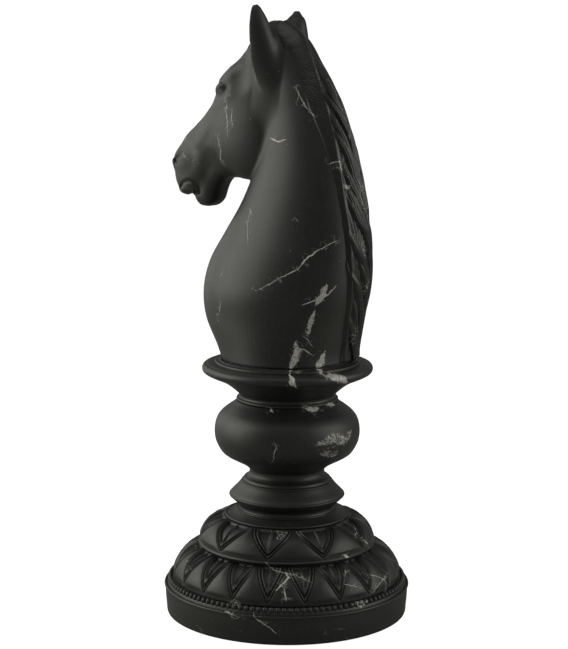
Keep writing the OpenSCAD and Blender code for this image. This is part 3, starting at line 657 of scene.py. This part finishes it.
def tier(name, centre, radius, foot, rest, count, phase, arcs, half_mm, rim=0.0):
    """A quarter-round moulding with the leaf pattern.

    foot and rest are the profile before and after the round. arcs are the angles on the
    round where the leaves end, and rim is the height of a bead along its foot.
    """
    n, m = ((1500, 100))
    phi = np.radians(np.linspace(0, 90, m))
    outer = [(centre[0] + radius * math.cos(p), centre[1] + radius * math.sin(p)) for p in phi]
    profile = np.array(foot + outer + rest, float)
    theta = np.linspace(0, TAU, n, endpoint=False)[None, :]
    a0, a1 = (math.radians(a) for a in arcs)
    v = ((phi - a0) / (a1 - a0))[:, None]
    lift = petal_relief(theta, v, count, phase, half_mm, radius * (a1 - a0))
    up = np.degrees(phi)[:, None]
    lift = lift + rim * (np.exp(-((up - 2.4) / 1.6) ** 2) - 0.6 * np.exp(-((up - 6.0) / 1.3) ** 2))
    r, z = (np.repeat(column[:, None], n, 1) for column in profile.T)
    rows = slice(len(foot), len(foot) + m)
    r[rows] += lift * np.cos(phi)[:, None]
    z[rows] += lift * np.sin(phi)[:, None]
    return revolved(name, r, z, theta, sharp=50)


def lower_tier():
    foot = PLINTH_TOP + SEAM
    return tier("lower_petals", (146, 66), 57,
                [(201.6, foot), (201.6, 64.8), (202.6, 65.4)],
                [(146, 123), (146, 123.8), (118, TIER_SEAM), (118, 114), (147, 114),
                 (160, 108), (176, 96), (186, 80), (192, 62), (192, foot)],
                20, 9.87, (4, 80), 29)


def upper_tier():
    foot = TIER_SEAM + SEAM
    return tier("upper_petals", (107, 126), 50,
                [(146, foot), (155.6, foot), (156.8, 125.4)],
                [(107, TIER_TOP), (52, TIER_TOP), (52, 166), (108, 166), (124, 160), (138, 148), (146, 134)],
                10, 24.87, (9, 81), 44, rim=1.5)


def waist():
    """Sloping foot, short neck and the ring with its sharp crest."""
    foot = TIER_TOP + SEAM
    profile = ([(52, foot), (109.4, foot)] + arc(109.2, 178.2, 2.0, 2.1, -80, 95, 8)
               + [(107.6, 179.2)]
               + rounded([(106.4, 179.4), (99, 182.4), (93, 185.6), (90.6, 187.2)], 4)
               + arc(89.2, 188.9, 1.7, 1.7, -60, 120, 6)
               + rounded([(87.4, 190.6), (86.6, 194), (87.6, 198), (92, 202.8), (98, 208), (101.6, 211.6)])
               + arc(101.4, 214, 2.0, 2.2, -50, 75, 7)
               + rounded([(100.8, 216.8), (98.4, 220.2), (90, 228.6), (83.8, 236)])
               + [(82.4, 237.4), (81.8, 238), (81.6, 239.4), (80, 240.6), (79.4, WAIST_TOP), (30, WAIST_TOP),
                  (30, 231), (70, 231), (76, 214), (74, 200), (76, 186), (52, 186)])
    return lathe("waist_moulding", profile)


def bulb():
    """The bulb, hollow, with a narrow foot."""
    foot = WAIST_TOP + SEAM
    profile = ([(30, foot), (78.6, foot)]
               + rounded([(78.6, 242), (76.6, 245.2), (71.6, 248.4), (67.8, 253), (67.2, 260), (70.5, 264.8),
                          (80, 272), (94.6, 280), (109.2, 288), (118.2, 296), (126.6, 312), (129.4, 328),
                          (128, 344), (123.6, 356), (116.0, 365.4), (106, 373.2), (97, 379.4)], 6)
               + [(93, 382.6), (91, 384.4), (90.4, BULB_TOP), (32, BULB_TOP), (32, 375)]
               + rounded([(86, 375), (104, 362), (116, 346), (119, 328), (114, 308), (100, 292), (74, 276),
                          (58, 264), (56, 251)], 3)
               + [(30, 251)])
    return lathe("bulb_section", profile)


def collar():
    """A stem with a small ring at its foot, a flared dish and its half-round lip."""
    foot = BULB_TOP + SEAM
    profile = ([(32, foot), (88.6, foot)] + arc(86.8, 388.6, 3.8, 3.4, -70, 90, 9)
               + rounded([(86.4, 392.4), (85.8, 396), (88.6, 400.6), (97, 408.2), (106.4, 415.6),
                          (119.6, 423.6), (137, 431.2), (144.8, 434.8)], 6)
               + arc(143.2, 443.6, 8.4, 8.4, -62, 88, 18)
               + rounded([(142.8, 452.4), (141, 453.4), (138, 453.9)], 3)
               + [(129.3, COLLAR_TOP), (129.3, 453), (30, 453), (30, 440), (7, 440), (7, 426), (100, 426)]
               + rounded([(94, 420), (82, 409), (76, 398)], 3)
               + [(76, 395), (32, 395)])
    return lathe("collar_section", profile)


def neck_seat():
    """The raised disc that the neck stands on."""
    profile = ([(32, 453), (129, 453), (129, 455.4)] + arc(126.6, 455.6, 2.4, 2.6, 5, 88, 7)
               + rounded([(125, 458.2), (122, 458.8), (120.8, 459.6), (120.4, SEAT_TOP)], 3)
               + [(32, SEAT_TOP)])
    return lathe("neck_seat_disc", profile)


# ---------------------------------------------------------------- veins of the marble, and painted glints on the mane

# Placed veins, and patches of painted highlight on the mane's locks: (width in mm, how solid it is from 0 to
# 1, points), by what the points are:
# "wall": (angle in degrees round the axis, height).
# "cheek": (forward, height) on the horse's left face.
# "dome": (angle in degrees, height less radius), which keeps its scale over a round shoulder.
VEINS_AND_GLINTS = {
    "wall": [
        (1.7, 1, [(31, 620), (47, 639), (53, 658), (61, 670), (72, 683)]),
        (0.9, 0.8, [(8, 596), (14, 600), (22, 610), (31, 620)]),
        (10.4, 0.8, [(64.5, 607), (62, 590), (59, 577)]),
        (1.8, 1, [(49, 575), (56, 581), (61, 588), (63.5, 606)]),
        (1.6, 0.9, [(62, 583), (67, 592), (72, 606)]),
        (8.5, 0.8, [(57.5, 561), (55.5, 545), (54, 524)]),
        (1.3, 0.8, [(50, 519), (54, 511), (57.5, 502)]),
        (11.1, 0.8, [(44, 506), (45, 492), (40, 462)]),
        (1.6, 0.8, [(45, 500), (52, 494), (58, 486)]),
        (13, 0.8, [(68.6, 485), (65.5, 470), (64, 456)]),
        (11.7, 0.8, [(66, 452), (74, 446), (80, 437)]),
        (9.1, 0.8, [(39, 453), (40, 444), (42, 438)]),
        (1, 0.7, [(-19, 724), (-15, 700), (-9, 675)]),
        (1.4, 0.7, [(-28.5, 567), (-31, 555), (-34, 541)]),
        (2.2, 1, [(4, 850), (12, 848), (19, 847.5), (26, 848), (33, 850)]),
        (1.5, 0.8, [(47, 938), (55, 917), (60, 905), (66, 890)]),
        (1.3, 0.8, [(73, 812), (79, 816), (80, 800), (81, 792)]),
        # The five wide, faint patches that follow are painted highlights: white glints down the locks on the
        # right of the mane.
        (6.5, 0.8, [(82, 776), (84, 771)]),
        (6, 0.42, [(92, 752), (96, 728)]),
        (7, 0.42, [(93, 676), (98, 648)]),
        (5, 0.4, [(99, 610), (97, 578)]),
        (4, 0.42, [(97, 530), (94, 498)]),
        # White dashes along the seam at the top of the bulb.
        (4, 1, [(19, 386), (21, 383)]),
        (6.5, 1, [(58, 386), (66, 383), (74, 385)]),
        (6.5, 0.9, [(88, 386), (100, 384)]),
        (17, 0.52, [(62, 330), (76, 338), (88, 330), (96, 340)]),
        (12, 0.48, [(66, 312), (80, 306)]),
        (1.2, 0.7, [(30, 330), (27, 312), (24, 296)]),
        (1.4, 0.9, [(22, 55), (27, 40), (32, 26)]),
        (1.3, 0.8, [(8, 55), (12, 52), (16, 49)])],
    "cheek": [
        (1, 0.9, [(90, 919), (92, 900), (89, 876), (88, 853)]),
        (0.9, 0.9, [(80, 897), (79, 882), (77, 869)]),
        (1.1, 0.9, [(114, 846), (110, 825), (116, 808), (112, 797)]),
        (6, 0.22, [(182, 824), (184, 808), (181, 794)]),
        (5, 0.2, [(216, 835), (212, 818), (208, 800)])],
    "dome": [
        (1.4, 1, [(24, -28), (31, -46), (36, -56), (42, -60), (50, -84)]),
        (3.2, 0.9, [(36, -55), (38.5, -70), (32, -102)]),
        (2.6, 0.9, [(36, -100), (37, -124)]),
        (16, 0.42, [(29, 57), (33, 50), (31, 36)]),
        (1.2, 0.9, [(98, 60), (99, 34), (97, 10), (106, -33)]),
        (1, 0.9, [(105, 40), (100, 26), (92, 8)]),
        (5.9, 1, [(77, -22), (80, -27)]),
        (1.1, 0.9, [(72, -62), (67.5, -98), (77, -116)]),
        (1, 0.9, [(81, -80), (88, -98), (96, -116), (96, -143)]),
        (1, 0.9, [(84, -130), (92, -118), (102, -104)]),
        (18, 0.26, [(-32, -84), (-28, -94), (-24, -90)]),
        (11.7, 0.5, [(9, -138), (14, -139)]),
        (14.3, 0.6, [(71, -148), (77, -148)])]}
# The far side carries the same kind of veins and painted glints, turned and shifted.
FAR_TURN, FAR_DROP, FAR_SHIFT = 171, -7, 6
BARE_CHEEK = 8            # the cheeks' veins keep this far from the middle plane
TIERS_TOP, TALL = 175, 300
NO_VEIN = 40.0            # the distance stored where no vein is near


def spread_along(points, scale):
    """Where each point of a vein lies along it, from 0 to 1; the painted glints are measured the same way."""
    steps = [math.hypot((b[0] - a[0]) * scale, b[1] - a[1]) for a, b in zip(points[:-1], points[1:])]
    return np.concatenate([[0], np.cumsum(steps)]) / sum(steps)


def laid_flat(where, far, start, end, skin):
    """A straight stretch of a vein on the skin laid flat; the painted glints are laid flat the same way.

    Gives each skin point's offset from the start, the run to the end, and which points may carry it.
    """
    x, y, z, r, angle = skin
    (a0, h0), (a1, h1) = start, end
    if where == "cheek":
        over, run, up = -y - a0 - FAR_SHIFT * far, a1 - a0, z
        ok = (x < -BARE_CHEEK) if far else (x > BARE_CHEEK)
    else:
        over = np.radians((angle - a0 - FAR_TURN * far + 180) % 360 - 180) * r
        run = np.radians(a1 - a0) * r
        up = z if where == "wall" else z - r
        ok = z < TIERS_TOP if where == "dome" and h0 < 20 else z > -1
    drop = FAR_DROP * far if where == "cheek" or z.max() > TALL else 0
    return over, up - h0 - drop, run, h1 - h0, ok


def paint_veins_and_glints(obj):
    """Stores at each point how the nearest placed vein runs past it; on the mane's locks the nearest mark can
    be a patch of painted highlight.

    "vein" is the distance in mm to its middle line, "vein_across" the same with a sign, which
    stays exact between two points, "vein_half" half its width there and "vein_density" how solid it is.
    """
    mesh = obj.data
    co = np.empty(len(mesh.vertices) * 3, np.float32)
    mesh.vertices.foreach_get("co", co)
    x, y, z = co.reshape(-1, 3).T / MM
    skin = x, y, z, np.hypot(x, y), np.degrees(np.arctan2(y, x))
    edge = np.full(len(x), NO_VEIN, np.float32)
    away, across = edge.copy(), edge.copy()
    half, dense = np.ones_like(edge), np.ones_like(edge)
    veins = [(where, *vein) for where, group in VEINS_AND_GLINTS.items() for vein in group]
    for where, width, density, points in veins:
        place = spread_along(points, 1.0 if where == "cheek" else 2.0)
        for far, k in itertools.product((False, True), range(len(points) - 1)):
            over, up, run, rise, ok = laid_flat(where, far, points[k], points[k + 1], skin)
            t = np.clip((over * run + up * rise) / np.maximum(run * run + rise * rise, 1e-6), 0, 1)
            d = np.hypot(over - t * run, up - t * rise)
            along = place[k] + t * (place[k + 1] - place[k])
            h = width / 2 * (0.3 + 0.7 * np.sin(math.pi * np.clip(along, 0.02, 0.98)) ** 0.6)
            near = ok & (d - h < edge)
            edge[near] = (d - h)[near]
            away[near] = d[near]
            across[near] = (d * np.sign(up * run - over * rise))[near]
            half[near] = h[near]
            dense[near] = density
    stored = {"vein": away, "vein_across": across, "vein_half": half, "vein_density": dense}
    for name, values in stored.items():
        layer = mesh.attributes.new(name, "FLOAT", "POINT")
        layer.data.foreach_set("value", values)


# ---------------------------------------------------------------- materials

class Nodes:
    """A small helper to wire a material's node tree."""

    def __init__(self, name):
        self.material = bpy.data.materials.new(name)
        self.material.use_nodes = True
        self.tree = self.material.node_tree
        self.shader = self.tree.nodes["Principled BSDF"]
        coords = self.tree.nodes.new("ShaderNodeTexCoord")
        self.place = coords.outputs["Object"]

    def set(self, socket, value):
        """Links an output to a socket, or sets it to a plain value."""
        if isinstance(value, bpy.types.NodeSocket):
            self.tree.links.new(value, socket)
        else:
            socket.default_value = value

    def add(self, kind, **inputs):
        """A new node with its inputs set. An underscore stands for a blank in an input's name."""
        node = self.tree.nodes.new(kind)
        for key, value in inputs.items():
            self.set(node.inputs[key.replace("_", " ")], value)
        return node

    def noise(self, scale, detail=4.0, rough=0.55, stretch=None):
        """Noise from 0 to 1. stretch scales its space by axis."""
        place = self.place
        if stretch is not None:
            place = self.add("ShaderNodeMapping", Vector=place, Scale=stretch).outputs[0]
        node = self.add("ShaderNodeTexNoise", Vector=place, Scale=scale, Detail=detail, Roughness=rough)
        return node.outputs["Fac"]

    def shaken(self, value, size, scale, detail, rough):
        """value moved up and down by noise of the given size."""
        centred = self.math("SUBTRACT", self.noise(scale, detail, rough), 0.5)
        return self.math("MULTIPLY_ADD", centred, size, value)

    def attribute(self, name):
        """A number stored at the mesh's points."""
        node = self.tree.nodes.new("ShaderNodeAttribute")
        node.attribute_name = name
        return node.outputs["Fac"]

    def cracks(self, scale, place, wide, narrow):
        """Thin lines where Voronoi cells meet."""
        cells = self.add("ShaderNodeTexVoronoi", Vector=place, Scale=scale)
        cells.feature = "DISTANCE_TO_EDGE"
        return self.ramp(cells.outputs["Distance"], wide, narrow)

    def math(self, operation, a, b=0.0, c=0.0):
        node = self.tree.nodes.new("ShaderNodeMath")
        node.operation = operation
        for socket, value in zip(node.inputs, (a, b, c)):
            self.set(socket, value)
        return node.outputs[0]

    def ramp(self, value, low, high, to_low=0.0, to_high=1.0):
        """value remapped smoothly from low..high to to_low..to_high."""
        node = self.tree.nodes.new("ShaderNodeMapRange")
        node.interpolation_type = "SMOOTHSTEP"
        for socket, v in zip(node.inputs, (value, low, high, to_low, to_high)):
            self.set(socket, v)
        return node.outputs[0]

    def blend(self, factor, a, b):
        """Colour a where the factor is 0, b where it is 1."""
        node = self.tree.nodes.new("ShaderNodeMix")
        node.data_type = "RGBA"
        self.set(node.inputs["Factor"], factor)
        self.set(node.inputs["A"], a)
        self.set(node.inputs["B"], b)
        return node.outputs["Result"]

    def bump(self, height, distance, strength=1.0):
        node = self.add("ShaderNodeBump", Height=height, Distance=distance, Strength=strength)
        self.set(self.shader.inputs["Normal"], node.outputs[0])

    def finish(self, color, roughness, metallic=0.0):
        """Sets the shader's main inputs and gives the material."""
        self.set(self.shader.inputs["Base Color"], color)
        self.set(self.shader.inputs["Roughness"], roughness)
        self.set(self.shader.inputs["Metallic"], metallic)
        return self.material


MARBLE_DARK = (0.0077, 0.0078, 0.0064, 1)
MARBLE_GREY = (0.0138, 0.0139, 0.0114, 1)
MARBLE_SPECK = (0.0215, 0.0215, 0.0175, 1)


# Colours of the white veins, and of the painted highlights on the mane's locks.
CHALK_WHITE, CHALK_GREY = (0.74, 0.73, 0.69, 1), (0.36, 0.35, 0.32, 1)


def placed_veins_and_glints(n):
    """The placed veins, and the white patches on the mane's locks that are painted highlights. They wander a
    little, have ragged edges, and break up where not solid.
    """
    half, solid = n.attribute("vein_half"), n.attribute("vein_density")
    wander = n.shaken(n.attribute("vein_across"), 9.0, 40, 3, 0.5)
    wander = n.shaken(wander, 3.0, 150, 3, 0.6)
    line = n.math("MAXIMUM", n.math("ABSOLUTE", wander), n.math("SUBTRACT", n.attribute("vein"), 3.6))
    line = n.math("SUBTRACT", line, half)
    rag = n.math("MULTIPLY_ADD", half, 2.6, 0.5)
    line = n.shaken(line, rag, 380, 5, 0.75)
    line = n.shaken(line, rag, 110, 4, 0.7)
    breaks = n.ramp(n.math("MULTIPLY_ADD", solid, 0.42, n.noise(95, 5, 0.75)), 0.76, 0.88)
    grains = n.ramp(n.math("MULTIPLY_ADD", solid, 0.30, n.noise(300, 6, 0.8)), 0.63, 0.72)
    kept = n.math("MAXIMUM", n.math("MULTIPLY", breaks, grains), n.math("MULTIPLY", grains, 0.75))
    return n.math("MULTIPLY", n.ramp(line, 0.3, -0.3), kept)


def warped_place(n):
    """The object's space, swirled, so that cracks run in curves."""
    swirl = n.add("ShaderNodeTexNoise", Vector=n.place, Scale=11.0, Detail=5.0)
    warp = n.add("ShaderNodeVectorMath")
    warp.operation = "MULTIPLY_ADD"
    n.set(warp.inputs[0], swirl.outputs["Color"])
    n.set(warp.inputs[1], (0.16, 0.16, 0.16))
    n.set(warp.inputs[2], n.place)
    return warp.outputs[0]


def loose_marks(n):
    """Flecks and crackle near the placed veins and the painted glints, and sparse hairlines and flecks
    everywhere.
    """
    place, vein = warped_place(n), n.attribute("vein")
    halo = n.math("MULTIPLY", n.ramp(vein, 9.0, 0.0), n.ramp(n.noise(520, 3, 0.6), 0.66, 0.71))
    crackle = n.math("MULTIPLY", n.cracks(38.0, place, 0.045, 0.012), n.ramp(vein, 14.0, 1.0))
    crackle = n.math("MULTIPLY", crackle, n.ramp(n.noise(55, 4, 0.7), 0.46, 0.60))
    hair = n.math("MULTIPLY", n.cracks(5.5, place, 0.010, 0.001), n.ramp(n.noise(16, 4, 0.6), 0.60, 0.70))
    flecks = n.ramp(n.noise(340, 2, 0.5), 0.735, 0.765)
    flecks = n.math("MULTIPLY", flecks, n.ramp(n.noise(21, 3, 0.5), 0.52, 0.66))
    white = 0.0
    for mark, strength in ((halo, 0.7), (crackle, 0.45), (hair, 0.4), (flecks, 0.5)):
        white = n.math("MAXIMUM", white, n.math("MULTIPLY", mark, strength))
    return white


def marble(name, smooth, worn):
    """Satin black with grey clouding, ragged white veins and flecks, and white patches on the mane's locks
    that are painted highlights. smooth and worn are roughnesses.
    """
    n = Nodes(name)
    fine = n.noise(140, 4, 0.6)
    black = n.blend(n.ramp(n.noise(9, 6, 0.6), 0.35, 0.75), MARBLE_DARK, MARBLE_GREY)
    black = n.blend(n.ramp(fine, 0.45, 0.8, 0, 0.5), black, MARBLE_SPECK)
    white = n.math("MAXIMUM", placed_veins_and_glints(n), loose_marks(n))
    color = n.blend(white, black, n.blend(n.noise(60, 4, 0.6), CHALK_WHITE, CHALK_GREY))
    n.bump(n.math("MULTIPLY_ADD", n.noise(260, 4, 0.6), 0.35, n.noise(38, 4, 0.5)), 0.0004, 0.18)
    rough = n.math("ADD", n.ramp(fine, 0.3, 0.7, smooth, worn), n.math("MULTIPLY", white, 0.08))
    return n.finish(color, rough)


def grained(name, dark, light, scale=60, stretch=(1, 12, 1), roughness=0.6):
    """Wood: pale growth lines with pores."""
    n = Nodes(name)
    line = n.noise(scale, 6, 0.65, stretch=stretch)
    pore = n.noise(scale * 9, 3, 0.6, stretch=(1, 20, 1))
    color = n.blend(n.ramp(line, 0.3, 0.7), dark, light)
    color = n.blend(n.ramp(pore, 0.62, 0.75, 0, 0.45), color, dark)
    n.bump(line, 0.0003, 0.5)
    return n.finish(color, n.ramp(line, 0.3, 0.7, roughness + 0.08, roughness - 0.08))


def metal(name, tint, roughness=0.34):
    """Zinc plated steel: spangle, a drag of fine scratches, duller stains."""
    n = Nodes(name)
    spangle = n.add("ShaderNodeTexVoronoi", Vector=n.place, Scale=190.0).outputs["Color"]
    grey = n.add("ShaderNodeRGBToBW", Color=spangle).outputs[0]
    scratch = n.noise(500, 3, 0.6, stretch=(1, 1, 0.06))
    stain = n.noise(26, 4, 0.6)
    darker = tuple(0.72 * c for c in tint[:3]) + (1,)
    color = n.blend(n.ramp(stain, 0.4, 0.7), tint, darker)
    color = n.blend(n.math("MULTIPLY", grey, 0.25), color, darker)
    n.bump(scratch, 0.0001, 0.5)
    return n.finish(color, n.ramp(stain, 0.35, 0.7, roughness - 0.06, roughness + 0.14), 1.0)


def moulded(name, tint, roughness=0.55, grain=900, high=0.0002):
    """Moulded plastic or rubber: fine grain and faint handling marks."""
    n = Nodes(name)
    cloud = n.noise(30, 4, 0.6)
    lighter = tuple(min(1.0, 1.3 * c + 0.012) for c in tint[:3]) + (1,)
    color = n.blend(n.ramp(cloud, 0.45, 0.8, 0, 0.7), tint, lighter)
    n.bump(n.noise(grain, 3, 0.6), high, 0.45)
    return n.finish(color, n.ramp(cloud, 0.3, 0.7, roughness - 0.07, roughness + 0.07))


def granular(name, tint, scale, high):
    """Sand or foam: distinct grains."""
    n = Nodes(name)
    cell = n.add("ShaderNodeTexVoronoi", Vector=n.place, Scale=scale)
    shade = n.add("ShaderNodeRGBToBW", Color=cell.outputs["Color"]).outputs[0]
    darker = tuple(0.55 * c for c in tint[:3]) + (1,)
    color = n.blend(n.math("MULTIPLY", shade, 0.7), tint, darker)
    n.bump(cell.outputs["Distance"], high, 0.8)
    return n.finish(color, 0.85)


def dress():
    """Gives every CAD node its material, and returns all the materials by name."""
    finishes = {
        "marble_black": marble("black marble", 0.44, 0.50),
        "marble_mane": marble("rubbed black marble", 0.31, 0.38),
        "rubber_black": moulded("rubber", (0.016, 0.016, 0.016, 1), 0.7, 700, 0.0003),
        "plywood": grained("birch plywood", (0.30, 0.19, 0.10, 1), (0.56, 0.41, 0.25, 1), 40),
        "core_board": grained("sealed board", (0.24, 0.16, 0.09, 1), (0.42, 0.31, 0.19, 1), 55,
                              roughness=0.5),
        "dowel_wood": grained("beech dowel", (0.45, 0.30, 0.18, 1), (0.66, 0.49, 0.32, 1), 120, (12, 12, 1)),
        "zinc_screw": metal("zinc screws", (0.62, 0.61, 0.57, 1), 0.3),
        "zinc_plate": metal("zinc plate", (0.55, 0.56, 0.58, 1), 0.38),
        "rod_steel": metal("threaded steel", (0.60, 0.60, 0.60, 1), 0.32),
        "plastic_black": moulded("black plastic", (0.022, 0.022, 0.023, 1), 0.45),
        "plastic_white": moulded("white plastic", (0.66, 0.65, 0.60, 1), 0.4),
        "foam_grey": granular("closed-cell foam", (0.05, 0.05, 0.052, 1), 900.0, 0.0003),
        "sand": granular("dry sand", (0.55, 0.44, 0.28, 1), 700.0, 0.0006)}
    for part in frame["record"]["subparts"]:
        obj = bpy.data.objects.get(part["node"])
        if obj is not None and obj.type == "MESH":
            use(obj, finishes[part["material_slot"]])
    return finishes


def use(obj, material):
    """Puts a material in all of an object's slots."""
    if not obj.material_slots:
        obj.data.materials.append(material)
    for slot in obj.material_slots:
        slot.material = material


# ---------------------------------------------------------------- stage

CAMERA_AZIMUTH, CAMERA_DISTANCE, CAMERA_HEIGHT = 127.0, 3.3131, 1.0714
CAMERA_PITCH, CAMERA_ROLL = math.radians(9.4495), 0.00484
LENS, SHIFT_X = 105.39, -0.0057


WORLD_LIGHT, WHITE, FLOOR_GLOW = 0.2, 1.1, 0.97
LIGHT_TINT = (1, 0.997, 0.925)
AIM = Vector((0, 0, 0.55))                # the lights point at the middle of the piece


def camera():
    """The camera, on the horse's left and a little behind it."""
    data = bpy.data.cameras.new("camera")
    data.sensor_fit, data.sensor_height, data.lens, data.shift_x = "VERTICAL", 36, LENS, SHIFT_X
    obj = bpy.data.objects.new("camera", data)
    a = math.radians(CAMERA_AZIMUTH)
    obj.location = (CAMERA_DISTANCE * math.sin(a), -CAMERA_DISTANCE * math.cos(a), CAMERA_HEIGHT)
    look = Matrix.Rotation(a, 4, "Z") @ Matrix.Rotation(math.pi / 2 - CAMERA_PITCH, 4, "X")
    obj.rotation_euler = (look @ Matrix.Rotation(CAMERA_ROLL, 4, "Z")).to_euler()
    bpy.context.scene.collection.objects.link(obj)
    bpy.context.scene.camera = obj


def area_light(name, azimuth, elevation, distance, size, power):
    """A soft box. azimuth is measured from the camera's direction, positive to its right."""
    data = bpy.data.lights.new(name, "AREA")
    data.shape, data.size, data.size_y, data.energy, data.color = "RECTANGLE", *size, power, LIGHT_TINT
    obj = bpy.data.objects.new(name, data)
    a, e = math.radians(CAMERA_AZIMUTH + azimuth), math.radians(elevation)
    towards = Vector((math.sin(a) * math.cos(e), -math.cos(a) * math.cos(e), math.sin(e)))
    obj.location = AIM + distance * towards
    obj.rotation_euler = (AIM - obj.location).to_track_quat("-Z", "Y").to_euler()
    bpy.context.scene.collection.objects.link(obj)


def by_viewer(tree, for_light, for_camera):
    """A shader that the camera sees as one thing and the light as another."""
    path = tree.nodes.new("ShaderNodeLightPath")
    mix = tree.nodes.new("ShaderNodeMixShader")
    tree.links.new(path.outputs["Is Camera Ray"], mix.inputs["Fac"])
    tree.links.new(for_light, mix.inputs[1])
    tree.links.new(for_camera, mix.inputs[2])
    return mix.outputs[0]


def backdrop():
    """A white backdrop that gives a weak, even light."""
    world = bpy.data.worlds.new("studio")
    world.use_nodes = True
    bpy.context.scene.world = world
    tree = world.node_tree
    soft, bright = tree.nodes["Background"], tree.nodes.new("ShaderNodeBackground")
    for node, strength in ((soft, WORLD_LIGHT), (bright, WHITE)):
        node.inputs["Color"].default_value = (1, 1, 1, 1)
        node.inputs["Strength"].default_value = strength
    mixed = by_viewer(tree, soft.outputs[0], bright.outputs[0])
    tree.links.new(mixed, tree.nodes["World Output"].inputs["Surface"])


def floor(size=9.0):
    """A pale floor that runs into the backdrop: for the camera it also glows."""
    corners = [(-size, -size, 0), (size, -size, 0), (size, size, 0), (-size, size, 0)]
    mesh = bpy.data.meshes.new("floor")
    mesh.from_pydata(corners, [], [(0, 1, 2, 3)])
    obj = bpy.data.objects.new("floor", mesh)
    bpy.context.scene.collection.objects.link(obj)
    n = Nodes("pale floor")
    n.finish(n.blend(n.noise(3, 3), (0.34, 0.34, 0.33, 1), (0.38, 0.38, 0.37, 1)), 0.8)
    glow = n.add("ShaderNodeEmission", Color=(1, 1, 1, 1), Strength=FLOOR_GLOW)
    both = n.tree.nodes.new("ShaderNodeAddShader")
    n.tree.links.new(n.shader.outputs[0], both.inputs[0])
    n.tree.links.new(glow.outputs[0], both.inputs[1])
    mixed = by_viewer(n.tree, n.shader.outputs[0], both.outputs[0])
    n.tree.links.new(mixed, n.tree.nodes["Material Output"].inputs["Surface"])
    mesh.materials.append(n.material)


# ---------------------------------------------------------------- assembly

horse_points, horse_faces = horse()
# The pieces that stand in for each CAD node.
pieces = {
    "knight_head": [make_object("horse", horse_points, horse_faces, "head"), mane(),
                    forelock(horse_points, horse_faces)],
    "plinth": [plinth()],
    "bead_ring": [bead_strip(), beads()],
    "lower_tier": [lower_tier()],
    "upper_tier": [upper_tier()],
    "waist_ring": [waist()],
    "bulb": [bulb()],
    "collar": [collar()],
    "neck_seat": [neck_seat()]}
finish = dress()
for node, objects in pieces.items():
    for obj in objects:
        use(obj, finish["marble_mane" if obj.name == "mane" else "marble_black"])
        paint_veins_and_glints(obj)
        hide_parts(node)

camera()
backdrop()
floor()
area_light("key from the left", -92, 18, 2.8, (2.6, 2.6), 59)
area_light("edge from behind left", -138, 14, 2.8, (1.2, 2.4), 9)
area_light("rim from the right", 78, 16, 2.7, (2.0, 2.4), 33)
area_light("top", -10, 76, 2.6, (1.8, 1.8), 8)
bpy.context.scene.view_settings.view_transform = "Standard"
